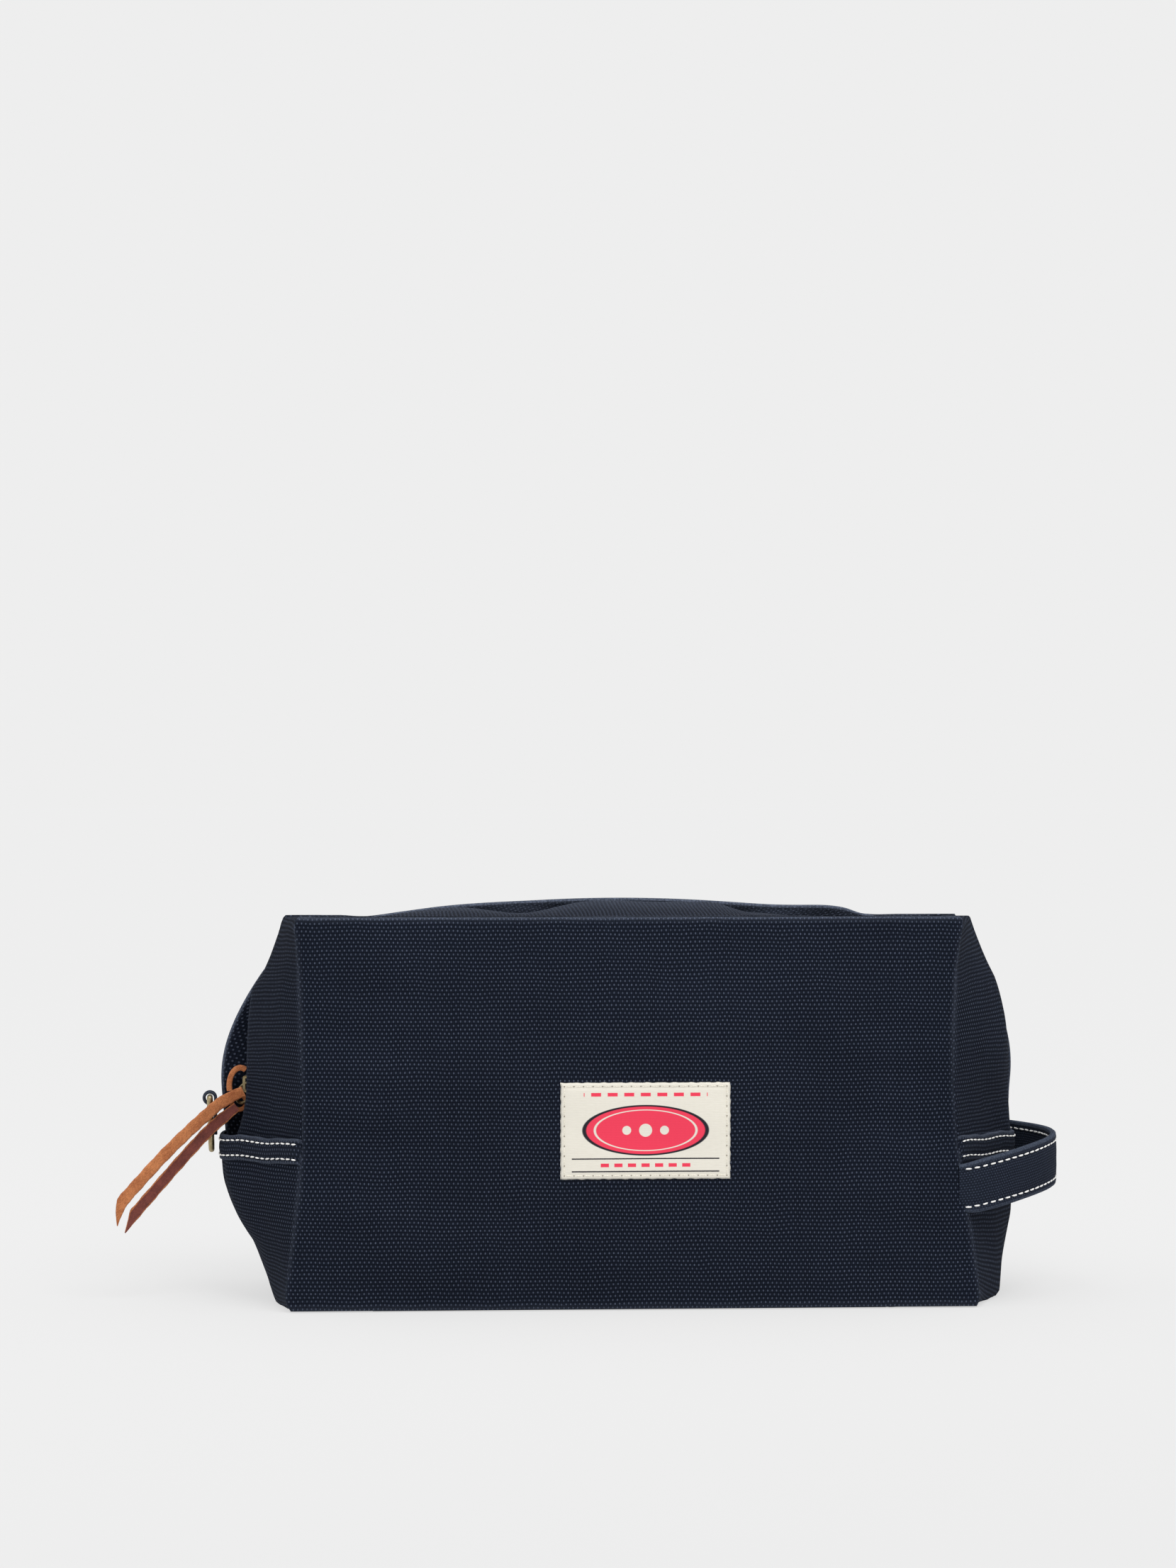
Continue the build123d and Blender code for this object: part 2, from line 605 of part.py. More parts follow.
# ---- label, D-ring and its tab --------------------------------------------------------------
with BuildPart() as label:
    with Locations((LABEL_X, -DEPTH / 2 - LABEL_T / 2, LABEL_Z)):
        Box(LABEL_LONG, LABEL_T, LABEL_HIGH)
    fillet(label.edges().filter_by(Axis.Y), 0.8)
export(label, "woven_label")

TAB_T, TAB_FOOT = 1.1, 56.0
eye_r = D_WIRE / 2 + 0.3
with BuildPart() as tab:
    with BuildSketch(Plane.XZ.offset(-TAB_WIDE / 2 - D_Y)):
        with Locations((D_BAR_X, D_BAR_Z)):
            Circle(eye_r + TAB_T)
        with Locations((D_BAR_X + eye_r, TAB_FOOT)):
            Rectangle(TAB_T, D_BAR_Z - TAB_FOOT, align=(Align.MIN, Align.MIN))
        with Locations((D_BAR_X, D_BAR_Z)):
            Circle(eye_r, mode=Mode.SUBTRACT)
    extrude(amount=TAB_WIDE)
export(tab, "d_ring_tab")

with BuildPart() as d_ring:
    d_lean = radians(2)
    d_down = Vector(sin(d_lean), 0, -cos(d_lean))
    d_plane = Plane(origin=(D_BAR_X, D_Y, D_BAR_Z), x_dir=(0, 1, 0), z_dir=Vector(0, 1, 0).cross(d_down))
    with BuildLine(d_plane) as d_line:
        drop = D_DROP - D_WIRE
        Line((-D_HALF, 0), (D_HALF, 0))
        Line((D_HALF, 0), (D_HALF, drop - D_HALF))
        ThreePointArc((D_HALF, drop - D_HALF), (0, drop), (-D_HALF, drop - D_HALF))
        Line((-D_HALF, drop - D_HALF), (-D_HALF, 0))
    with BuildSketch(Plane(origin=d_line.wires()[0] @ 0, z_dir=d_line.wires()[0] % 0)):
        Circle(D_WIRE / 2)
    sweep(transition=Transition.ROUND)
export(d_ring, "d_ring")

# ---- grab handle --------------------------------------------------------------------------
strap_sag = STRAP_REACH - STRAP_T / 2 - STRAP_START_X
strap_half_y = SEAM_Y - 0.6
strap_r = (strap_half_y**2 + strap_sag**2) / (2 * strap_sag)
strap_centre_x = STRAP_REACH - STRAP_T / 2 - strap_r
strap_turn = asin(strap_half_y / strap_r)
if strap_sag > strap_r:
    strap_turn = pi - strap_turn


def strap_piece(start, stop, sections=9):
    """Part of the strap between two angles round its arc, measured from its furthest point."""
    with BuildPart() as piece:
        for k in range(sections):
            angle = start + (stop - start) * k / (sections - 1)
            radial = Vector(cos(angle), sin(angle), 0)
            share = (radial.Y * strap_r + strap_half_y) / (2 * strap_half_y)
            z = STRAP_FRONT_Z + (STRAP_BACK_Z - STRAP_FRONT_Z) * share
            origin = Vector(strap_centre_x, 0, z) + radial * strap_r
            with BuildSketch(Plane(origin=origin, x_dir=radial, z_dir=(-radial.Y, radial.X, 0))):
                Rectangle(STRAP_T, STRAP_WIDE)
        loft(ruled=True)
    return piece


root_turn, gap_turn = ROOT_LONG / strap_r, ROOT_GAP / strap_r
export(strap_piece(-strap_turn, -strap_turn + root_turn, 2), "handle_end_front")
export(strap_piece(strap_turn - root_turn, strap_turn, 2), "handle_end_back")
free_turn = strap_turn - root_turn - gap_turn
export(strap_piece(-free_turn, free_turn, 15), "handle_strap")
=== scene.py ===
"""Looks for the canvas wash bag: cloth shells, zip, stitches, label, leather lace, hardware."""

import math

import bpy
import numpy as np
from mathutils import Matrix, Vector


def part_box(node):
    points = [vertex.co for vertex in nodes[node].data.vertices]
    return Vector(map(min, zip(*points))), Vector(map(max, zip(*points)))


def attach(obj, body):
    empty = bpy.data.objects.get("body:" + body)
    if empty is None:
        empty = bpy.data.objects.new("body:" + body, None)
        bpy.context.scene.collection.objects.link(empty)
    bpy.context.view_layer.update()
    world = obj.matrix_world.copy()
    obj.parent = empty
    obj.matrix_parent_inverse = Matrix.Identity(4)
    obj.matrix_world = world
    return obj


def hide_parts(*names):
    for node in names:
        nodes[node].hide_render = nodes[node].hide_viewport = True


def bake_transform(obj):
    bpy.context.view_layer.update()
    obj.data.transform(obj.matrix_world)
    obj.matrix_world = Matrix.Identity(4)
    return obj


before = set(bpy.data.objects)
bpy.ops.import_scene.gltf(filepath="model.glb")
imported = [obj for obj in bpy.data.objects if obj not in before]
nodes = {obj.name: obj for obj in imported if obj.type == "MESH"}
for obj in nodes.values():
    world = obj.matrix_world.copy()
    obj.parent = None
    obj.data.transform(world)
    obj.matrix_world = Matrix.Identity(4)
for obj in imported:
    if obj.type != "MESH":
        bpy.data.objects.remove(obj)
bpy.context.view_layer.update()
MM = 0.001

# ---- the bag's lines, in millimetres, as in the CAD ----
DEPTH, EDGE_Z, BAND_Z = 106.0, 133.0, 53.0
TOP_HALF, BASE_HALF = 114.0, 118.5
SHOULDER_Z, CROWN_SLOPE = 72.0, math.radians(10)
LIP_TIP, LIP_R, CHAIN_TIP, CHAIN_R = 139.0, 60.0, 124.0, 56.0
LIP_Y, LOWER_R, CORNER_R, CANVAS = 5.5, 52.0, 5.0, 1.4
SEAM_Y, HINGE_Y = DEPTH / 2 - CANVAS, DEPTH / 2 - 4.0
LEFT_SETBACK, RIGHT_SETBACK = 9.0, 2.5


def crown_radius(tip, radius):
    """Radius of a zip line's flat arc over the top, which meets its shoulder arc smoothly."""
    return (tip - radius + radius * math.sin(CROWN_SLOPE)) / math.sin(CROWN_SLOPE)


def zip_line(s, tip, radius):
    """Points (x, z) and outward normals on the left half of a zip line, s along it from the band."""
    s = np.asarray(s, float)
    rise, turn = SHOULDER_Z - BAND_Z, math.pi / 2 - CROWN_SLOPE
    big = crown_radius(tip, radius)
    big_z = SHOULDER_Z + (radius - big) * math.cos(CROWN_SLOPE)
    angle = np.where(
        s <= rise, math.pi,
        np.where(s <= rise + radius * turn, math.pi - (s - rise) / radius,
                 math.pi / 2 + CROWN_SLOPE - (s - rise - radius * turn) / big))
    r = np.where(s <= rise + radius * turn, radius, big)
    cx = np.where(s <= rise + radius * turn, radius - tip, 0.0)
    cz = np.where(s <= rise + radius * turn, SHOULDER_Z, big_z)
    x, z = cx + r * np.cos(angle), cz + r * np.sin(angle)
    z = np.where(s <= rise, BAND_Z + s, z)
    return x, z, np.cos(angle), np.sin(angle)


def zip_length(tip, radius):
    """Length of a zip line from the band to the middle of the top."""
    crown = crown_radius(tip, radius) * CROWN_SLOPE
    return SHOULDER_Z - BAND_Z + radius * (math.pi / 2 - CROWN_SLOPE) + crown


SEAM_Z = (0, 5, 25, 40, 53, 75, 95, 115, 126, 133)
SEAM_LEFT = (116.2, 116.6, 113.9, 112.1, 111.0, 111.0, 111.3, 112.1, 113.2, 114.2)
SEAM_RIGHT = (119.6, 119.2, 116.4, 113.8, 112.0, 110.2, 110.0, 111.0, 112.8, 114.2)


def seam_half(z, right):
    """How far a corner seam is from the middle at height z."""
    return np.interp(z, SEAM_Z, SEAM_RIGHT if right else SEAM_LEFT)


def corner_path(s, end_z, end_y, right):
    """Cloth edge from the band along a corner seam, round, and along the long edge (left, front)."""
    s = np.asarray(s, float)
    up = 1.0 if end_z > BAND_Z else -1.0
    straight, arc = abs(end_z - BAND_Z) - CORNER_R, CORNER_R * math.pi / 2
    half = float(seam_half(end_z, right))
    a = np.clip((s - straight) / CORNER_R, 0, math.pi / 2)
    past = np.maximum(s - straight - arc, 0)
    on = s <= straight
    z = np.where(on, BAND_Z + up * s, end_z - up * CORNER_R * (1 - np.sin(a)))
    x = np.where(on, -seam_half(z, right), -half + CORNER_R * (1 - np.cos(a)) + past)
    y = np.where(on, -SEAM_Y, -SEAM_Y + (SEAM_Y - end_y) * a / (math.pi / 2))
    return x, y, z


def quarter(left, back):
    """Factors for x and y that mirror the left front into a quarter of the bag, and its names."""
    names = "left" if left else "right", "back" if back else "front"
    return (1.0 if left else -1.0, -1.0 if back else 1.0) + names


def smooth(t):
    """Smooth step from 0 at 0 to 1 at 1."""
    t = np.clip(t, 0, 1)
    return t * t * (3 - 2 * t)


def back_drop(y, z):
    """The back of the top sits lower than the front."""
    return 3.1 * smooth((z - 85) / 48) * smooth((np.abs(y) - 8) / 40)


def chain_sag(x):
    """The zip hangs a little below its even line over the middle of the top."""
    return 2.8 * smooth((84 - np.abs(x)) / 30)


def stretch(p, nor, line, level, most):
    """How far cloth points move out along their normals to the taut line, within a level and a most."""
    (cx, cz), (mx, mz), reach = line
    short = reach - (p[:, 0] - cx) * mx - (p[:, 2] - cz) * mz
    out = short / np.maximum(nor[:, 0] * mx + nor[:, 2] * mz, 0.05)
    flat = (level - p[:, 2]) / np.where(np.abs(nor[:, 2]) < 0.05, 0.05, nor[:, 2])
    return np.clip(np.minimum(out, flat), 0, most)


def tangent_line(centre, radius, corner):
    """The line from a corner that just touches a circle on its left: centre, outward normal, reach."""
    dx, dz = corner[0] - centre[0], corner[1] - centre[1]
    far = math.hypot(dx, dz)
    turn = math.acos(min((radius - 0.9) / far, 1.0)) * (1 if dz > 0 else -1)
    base = math.atan2(dz, dx) + turn
    return centre, (math.cos(base), math.sin(base)), radius - 0.9


def ripple(u, v, size, seed, depth=5):
    """Smooth repeatable wrinkles: a few sine waves of mixed directions around one wavelength."""
    r = np.random.RandomState(seed)
    total = 0.0
    for _ in range(depth):
        turn, phase, k = r.uniform(0, math.pi), r.uniform(0, 6.28), 6.28 / (size * r.uniform(0.7, 1.6))
        total = total + np.sin(k * (u * math.cos(turn) + v * math.sin(turn)) + phase)
    return total / depth


# ---- shader helpers ----
def plug(tree, slots, values):
    """Links each shader value to its slot, or sets the slot to a plain value."""
    for slot, value in zip(slots, values):
        if isinstance(value, Sock):
            tree.links.new(value.out, slot)
        else:
            slot.default_value = value


class Sock:
    """A shader value that can be written with ordinary arithmetic."""

    def __init__(self, tree, out):
        self.tree, self.out = tree, out

    def op(self, kind, *others):
        node = self.tree.nodes.new("ShaderNodeMath")
        node.operation = kind
        plug(self.tree, node.inputs, (self,) + others)
        return Sock(self.tree, node.outputs[0])

    def __add__(self, o): return self.op("ADD", o)
    def __sub__(self, o): return self.op("SUBTRACT", o)
    def __mul__(self, o): return self.op("MULTIPLY", o)
    def __truediv__(self, o): return self.op("DIVIDE", o)
    __radd__, __rmul__ = __add__, __mul__
    def cos(self): return self.op("COSINE")
    def abs(self): return self.op("ABSOLUTE")
    def pow(self, p): return self.op("POWER", p)
    def min(self, o): return self.op("MINIMUM", o)

    def ramp(self, low, high):
        """Smooth step from 0 at low to 1 at high."""
        node = self.tree.nodes.new("ShaderNodeMapRange")
        node.interpolation_type = "SMOOTHSTEP"
        node.inputs["From Min"].default_value, node.inputs["From Max"].default_value = low, high
        self.tree.links.new(self.out, node.inputs["Value"])
        return Sock(self.tree, node.outputs["Result"])


def srgb(r, g, b):
    """Linear colour from an 8-bit display colour."""
    def one(c):
        c /= 255
        return c / 12.92 if c <= 0.04045 else ((c + 0.055) / 1.055) ** 2.4
    return (one(r), one(g), one(b), 1.0)


class Shader:
    """A new material with a Principled shader and short ways to feed it."""

    def __init__(self, name, rough=0.8, metal=0.0, spec=0.5, sheen=0.0):
        self.mat = bpy.data.materials.new(name)
        self.mat.use_nodes = True
        self.tree = self.mat.node_tree
        self.bsdf = self.tree.nodes["Principled BSDF"]
        for slot, value in (("Roughness", rough), ("Metallic", metal), ("Specular IOR Level", spec),
                            ("Sheen Weight", sheen), ("Sheen Roughness", 0.45)):
            self.bsdf.inputs[slot].default_value = value

    def coords(self, cloth=False):
        """x, y and z in mm, of the object or of the cloth map."""
        if cloth:
            src = self.tree.nodes.new("ShaderNodeUVMap")
            src.uv_map = "cloth"
            out = src.outputs[0]
        else:
            out = self.tree.nodes.new("ShaderNodeTexCoord").outputs["Object"]
        sep = self.tree.nodes.new("ShaderNodeSeparateXYZ")
        self.tree.links.new(out, sep.inputs[0])
        return [Sock(self.tree, o) * 1000.0 for o in sep.outputs]

    def combine(self, *values):
        node = self.tree.nodes.new("ShaderNodeCombineXYZ")
        plug(self.tree, node.inputs, values)
        return Sock(self.tree, node.outputs[0])

    def noise(self, x, y, z=0.0, detail=3.0, rough=0.55):
        place = self.combine(x, y, z)
        node = self.tree.nodes.new("ShaderNodeTexNoise")
        slots = [node.inputs[k] for k in ("Vector", "Scale", "Detail", "Roughness")]
        plug(self.tree, slots, (place, 1.0, detail, rough))
        return Sock(self.tree, node.outputs[0])

    def mix(self, factor, a, b, blend="MIX"):
        node = self.tree.nodes.new("ShaderNodeMix")
        node.data_type, node.blend_type = "RGBA", blend
        plug(self.tree, (node.inputs[0], node.inputs[6], node.inputs[7]), (factor, a, b))
        return Sock(self.tree, node.outputs[2])

    def feed(self, name, sock):
        self.tree.links.new(sock.out, self.bsdf.inputs[name])

    def bump(self, height, strength, distance):
        node = self.tree.nodes.new("ShaderNodeBump")
        node.inputs["Strength"].default_value = strength
        node.inputs["Distance"].default_value = distance
        self.tree.links.new(height.out, node.inputs["Height"])
        self.tree.links.new(node.outputs[0], self.bsdf.inputs["Normal"])


def canvas_material(name, gap_shade, thread, dot, warp=0.75, weft=1.33, wear_and_highlight=True):
    """Heavy plain-weave duck, with slubs and faded patches; its gaps are painted shade, its thread crossings
    painted highlights, and its edges lighter as rubbing and painted highlight.
    """
    sh = Shader(name, rough=0.95, spec=0.05)
    u, v, _ = sh.coords(cloth=True)
    x, y, z = sh.coords()
    drift = sh.noise(u * 0.05, v * 0.05, detail=2.0) * 1.6
    a, b = (u + drift) * (math.pi / warp), (v + drift) * (math.pi / weft)
    d = a.cos() * b.cos()
    height = d.abs().pow(0.55)
    slub_v = sh.noise(u * 0.04, v * (1 / weft), 3.1, detail=2.0)
    slub_u = sh.noise(u * (1 / warp), v * 0.05, 7.7, detail=2.0)
    patch = sh.noise(x * 0.02, y * 0.02, z * 0.03, detail=4.0)
    fine = sh.noise(x * 1.6, y * 1.6, z * 1.6, detail=2.0)
    each = sh.noise(u * (1.3 / warp), v * (1.3 / weft), 1.7, detail=1.0)
    over = (d * b.cos().abs().pow(1.3)).ramp(0.12, 0.95)
    # the low places between threads take the darker gap colour: painted shade
    base = sh.mix(height.ramp(0.0, 0.6), srgb(*gap_shade), srgb(*thread))
    # raised thread crossings take the lighter dot colour: painted highlights
    lit = sh.mix(over * (slub_v * 0.7 + each * 0.9 + 0.05), base, srgb(*dot))
    tone = patch * 0.45 + slub_u * 0.35 + fine * 0.3 + 0.45
    col = sh.mix(1.0, lit, sh.combine(tone, tone, tone), "MULTIPLY")
    if wear_and_highlight:
        # lighter edges from the attribute: rubbed wear, and painted highlight on the lips and top folds
        attr = sh.tree.nodes.new("ShaderNodeAttribute")
        attr.attribute_name = "wear_and_highlight"
        rub_and_highlight = Sock(sh.tree, attr.outputs["Fac"]) * (fine.ramp(0.25, 0.75) * 0.7 + 0.35)
        col = sh.mix(rub_and_highlight.min(0.85), col, srgb(dot[0] + 26, dot[1] + 27, dot[2] + 28))
    sh.feed("Base Color", col)
    sh.bump(height * (slub_v * 0.5 + 0.75) + fine * 0.25, strength=0.55, distance=0.00028)
    return sh.mat


# colours of each cloth: gaps painted as shade, threads, and dots painted as highlights on the crossings
CANVAS_MAT = canvas_material("navy_duck", (12, 15, 24), (21, 26, 37), (73, 80, 96))
STRAP_MAT = canvas_material("navy_strap", (12, 15, 23), (28, 33, 45), (62, 70, 86), 0.55, 0.9)
LINING_MAT = canvas_material("lining_cloth", (30, 33, 38), (62, 66, 74), (80, 85, 94), 0.35, 0.4, wear_and_highlight=False)
TAPE_MAT = canvas_material("zip_tape_cloth", (8, 9, 13), (20, 22, 29), (32, 35, 44), 0.5, 0.6, wear_and_highlight=False)


def metal_material(name, bright, dull, rough=0.34):
    """Aged plated metal: brighter on high spots, brown in patches, fine scratches."""
    sh = Shader(name, rough=rough, metal=1.0)
    x, y, z = sh.coords()
    blot = sh.noise(x * 0.5, y * 0.5, z * 0.5, detail=4.0)
    grit = sh.noise(x * 4.0, y * 4.0, z * 9.0, detail=3.0)
    sh.feed("Base Color", sh.mix((blot * 0.8 + grit * 0.4).ramp(0.35, 0.85), srgb(*dull), srgb(*bright)))
    sh.feed("Roughness", blot * 0.3 + grit * 0.12 + rough - 0.15)
    sh.bump(grit, strength=0.25, distance=0.00008)
    return sh.mat


BRASS_MAT = metal_material("aged_brass", (196, 182, 146), (120, 102, 66))
TEETH_MAT = metal_material("zip_teeth_metal", (176, 168, 148), (86, 78, 60), 0.42)

thread_sh = Shader("white_thread", rough=0.75, spec=0.25, sheen=0.1)
tx, ty, tz = thread_sh.coords()
ply = ((tx + ty + tz) * 6.0).cos() * 0.5 + 0.5
thread_sh.feed("Base Color", thread_sh.mix(ply * 0.35, srgb(244, 243, 240), srgb(205, 205, 208)))
thread_sh.bump(ply, strength=0.4, distance=0.00015)
THREAD_MAT = thread_sh.mat

grey_sh = Shader("grey_thread", rough=0.8, spec=0.2)
gx, gy, _ = grey_sh.coords()
worn = grey_sh.noise(gx * 0.12, gy * 0.12, 0.0, detail=2.0)
grey_sh.feed("Base Color", grey_sh.mix(worn.ramp(0.42, 0.62), srgb(36, 42, 54), srgb(138, 150, 160)))
GREY_THREAD_MAT = grey_sh.mat


def leather_material(name, light, deep, rough, grain):
    sh = Shader(name, rough=rough, spec=0.3, sheen=0.05)
    x, y, z = sh.coords()
    fibre = sh.noise(x * 0.9 + z * 0.9, y * 2.5, (z - x) * 2.6, detail=5.0, rough=0.7)
    blot = sh.noise(x * 0.22, y * 0.22, z * 0.22, detail=3.0)
    nap = sh.noise(x * 7.0, y * 7.0, z * 7.0, detail=3.0, rough=0.7)
    mixv = (fibre * 0.9 + blot * 0.5 + nap * 0.35 - 0.35).ramp(0.2, 0.85)
    sh.feed("Base Color", sh.mix(mixv, srgb(*deep), srgb(*light)))
    sh.bump(fibre + nap * grain, strength=0.8, distance=0.0005)
    return sh.mat


SUEDE_MAT = leather_material("rough_leather", (236, 156, 100), (150, 76, 42), 0.9, 0.9)
SMOOTH_MAT = leather_material("smooth_leather", (142, 74, 62), (84, 40, 36), 0.5, 0.25)


# ---- mesh helpers ----
def unit(v):
    """Rows of v made one long."""
    return v / np.linalg.norm(v, axis=1)[:, None]


def run_along(points):
    """Distance along a polyline at each of its points."""
    return np.concatenate([[0], np.cumsum(np.linalg.norm(np.diff(points, axis=0), axis=1))])


def role(obj, slot, body, *stands_for):
    """Hides the CAD nodes that a piece stands for and hangs it on the body it rides on; slot, what it is made
    of, is not used.
    """
    if stands_for:
        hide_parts(*stands_for)
    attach(obj, body)


def bend_role(obj, slot, left, face, *stands_for):
    """For a piece of the top: hides the CAD nodes it stands for and bakes its placement into its mesh; slot
    and left are not used.
    """
    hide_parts(*stands_for)
    face + "_mouth"
    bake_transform(obj)


def box_mm(node):
    """Low and high corners of a CAD node's box, in mm."""
    return [np.array(corner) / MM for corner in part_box(node)]


def add_object(name, data):
    obj = bpy.data.objects.new(name, data)
    bpy.context.collection.objects.link(obj)
    return obj


def soften(obj, levels=1):
    """Rounds a mesh off by subdividing it."""
    mod = obj.modifiers.new("soften", "SUBSURF")
    mod.levels = mod.render_levels = levels


def thicken(obj, thick, offset):
    """Gives a sheet a thickness in metres, to one side (offset -1) or to both (0)."""
    mod = obj.modifiers.new("thickness", "SOLIDIFY")
    mod.thickness, mod.offset = thick, offset


def new_mesh(name, verts_mm, faces, mats, uv=None, wear_and_highlight=None, face_mats=None):
    """A mesh object from millimetre points, with a cloth map in metres and an attribute for rubbed edges and
    painted highlights.
    """
    mesh = bpy.data.meshes.new(name)
    mesh.from_pydata((np.asarray(verts_mm) * MM).tolist(), [], faces)
    if uv is not None:
        layer = mesh.uv_layers.new(name="cloth")
        loops = np.zeros(len(mesh.loops), int)
        mesh.loops.foreach_get("vertex_index", loops)
        layer.data.foreach_set("uv", (np.asarray(uv)[loops] * MM).ravel())
    if wear_and_highlight is not None:
        attr = mesh.attributes.new("wear_and_highlight", "FLOAT", "POINT")
        attr.data.foreach_set("value", np.asarray(wear_and_highlight, float))
    for m in mats:
        mesh.materials.append(m)
    mesh.polygons.foreach_set("use_smooth", [True] * len(mesh.polygons))
    if face_mats is not None:
        mesh.polygons.foreach_set("material_index", face_mats)
    mesh.update()
    return add_object(name, mesh)


def grid_faces(n, m, base=0, wrap=False):
    """Quads of an n by m grid of vertices, joined round in each row if wrap is set."""
    faces = []
    for row in range(base, base + (n - 1) * m, m):
        for j in range(m if wrap else m - 1):
            k = (j + 1) % m
            faces.append((row + j, row + m + j, row + m + k, row + k))
    return faces


def tube_faces(n, m, base=0, first_step=-1):
    """Faces of a tube of n rings of m vertices, closed at both ends; first_step winds the first end."""
    first = tuple(base + k for k in range(m))
    last = tuple(base + (n - 1) * m + k for k in range(m))
    return grid_faces(n, m, base, wrap=True) + [first[::first_step], last[::-first_step]]


def grid(name, x, y, z, u, v, mat, wear_and_highlight=0.0, flip=False):
    """A cloth sheet from arrays of the same n by m shape."""
    n, m = x.shape
    pts = np.stack([x, y, z], -1).reshape(-1, 3)
    uv = np.stack([u, v], -1).reshape(-1, 2)
    faces = grid_faces(n, m)
    if flip:
        faces = [f[::-1] for f in faces]
    return new_mesh(name, pts, faces, [mat], uv, np.broadcast_to(wear_and_highlight, (n, m)).ravel())


def resample(points, step):
    """Points and unit tangents at an even step along a polyline."""
    points = np.asarray(points, float)
    along = run_along(points)
    count = max(int(round(along[-1] / step)), 1)
    s = (np.arange(count) + 0.5) * along[-1] / count

    def at(where):
        return np.stack([np.interp(where, along, points[:, i]) for i in range(3)], -1)

    return at(s), unit(at(np.minimum(s + 0.2, along[-1])) - at(np.maximum(s - 0.2, 0)))


def stitch_data(path, pitch, length, width, up, seed=1, lift=0.25):
    """Vertices and faces of a row of thread stitches along a path; up gives the cloth's normal."""
    r = np.random.RandomState(seed)
    centres, tangents = resample(path, pitch)
    ups = np.broadcast_to(np.asarray(up, float), centres.shape) if np.ndim(up) == 1 else up(centres)
    verts, faces = [], []
    rings, sides = 7, 8
    for c, t, n in zip(centres, tangents, ups):
        n = n - t * np.dot(n, t)
        n = n / np.linalg.norm(n)
        b = np.cross(t, n)
        t = t + b * r.uniform(-0.09, 0.09)
        long = length * r.uniform(0.9, 1.06)
        base = len(verts)
        for i in range(rings):
            f = i / (rings - 1) * 2 - 1
            rad = width / 2 * max(1 - abs(f) ** 3.2, 0.02) ** 0.5
            sink = lift - 0.55 * width * f ** 4
            for k in range(sides):
                a = 2 * math.pi * k / sides
                raised = n * (rad * 0.8 * math.sin(a) + sink)
                verts.append(c + t * f * long / 2 + b * rad * math.cos(a) + raised)
        faces += tube_faces(rings, sides, base, first_step=1)
    return verts, faces


def stitches(name, rows, mat=THREAD_MAT):
    """One object holding several rows of stitches, sewn to the bag."""
    verts, faces = [], []
    for row in rows:
        v, f = stitch_data(**row)
        faces += [tuple(i + len(verts) for i in face) for face in f]
        verts += v
    obj = new_mesh(name, verts, faces, [mat])
    role(obj, "webbing", "bag")


# ---- camera, floor, light ----
YAW, CAMERA_AWAY, CAMERA_UP = math.radians(3.9), 1.5, 0.178
aim = Vector((math.sin(YAW), math.cos(YAW), 0))
eye = Vector((-0.0145, -DEPTH / 2 * MM, CAMERA_UP)) - aim * CAMERA_AWAY
cam_data = bpy.data.cameras.new("camera")
cam_data.sensor_width, cam_data.lens = 36.0, 101.8
cam_data.clip_end = 50
camera = add_object("camera", cam_data)
camera.location = eye
camera.rotation_euler = aim.to_track_quat("-Z", "Y").to_euler()
bpy.context.scene.camera = camera
bpy.context.scene.view_settings.view_transform = "Standard"

world = bpy.data.worlds.new("studio")
bpy.context.scene.world = world
world.use_nodes = True
background = world.node_tree.nodes["Background"]
background.inputs["Color"].default_value = srgb(238, 238, 238)
background.inputs["Strength"].default_value = 1.0

floor_mesh = bpy.data.meshes.new("studio_floor")
floor_mesh.from_pydata([(-12, -6, 0), (12, -6, 0), (12, 30, 0), (-12, 30, 0)], [], [(0, 1, 2, 3)])
floor = add_object("studio_floor", floor_mesh)
floor.location.z = -0.0002
floor_sh = Shader("studio_floor", rough=1.0, spec=0.0)
floor_sh.bsdf.inputs["Base Color"].default_value = (0.2, 0.2, 0.2, 1)
floor_sh.bsdf.inputs["Emission Color"].default_value = (1, 1, 1, 1)
# its own light is a little weaker under the key light, so that it shows as evenly white
floor_x, floor_y, _ = floor_sh.coords()
from_key = ((floor_x * MM - 0.12).pow(2.0) + (floor_y * MM + 0.5).pow(2.0)) * 1.6 + 1.0
floor_sh.feed("Emission Strength", from_key.pow(-2.0) * -0.11 + 0.664)
floor.data.materials.append(floor_sh.mat)

sun = bpy.data.lights.new("soft_sun", "SUN")
sun.energy, sun.angle = 0.35, math.radians(50)
add_object("soft_sun", sun).rotation_euler = Vector((0.25, 0.35, -1)).to_track_quat("-Z", "Y").to_euler()

key = bpy.data.lights.new("key", "AREA")
key.shape, key.size, key.energy = "DISK", 0.6, 4.2
KEY_AT, KEY_AIM = Vector((0.12, -0.5, 0.8)), Vector((0, 0, 0.06))
key_light = add_object("key", key)
key_light.location = KEY_AT
key_light.rotation_euler = (KEY_AIM - KEY_AT).to_track_quat("-Z", "Y").to_euler()

# ---- leather lace ----
LACE_Y = -4.2
UPPER = (
    (-131.2, LACE_Y, 71.3), (-138.4, LACE_Y - 0.1, 68.0), (-142.8, LACE_Y - 4.4, 64.4),
    (-149.2, LACE_Y - 7.2, 58.8), (-158.4, LACE_Y - 9.0, 50.0), (-167.8, LACE_Y - 10.2, 39.7),
    (-174.2, LACE_Y - 10.8, 32.6), (-176.2, LACE_Y - 11.0, 26.4),
)
LOWER = (
    (-133.4, LACE_Y, 65.9), (-138.4, LACE_Y - 0.2, 61.9), (-142.4, LACE_Y - 4.3, 58.8),
    (-150.8, LACE_Y - 5.6, 49.9), (-160.4, LACE_Y - 7.2, 39.0), (-169.7, LACE_Y - 8.4, 28.4),
    (-173.2, LACE_Y - 8.7, 24.4),
)


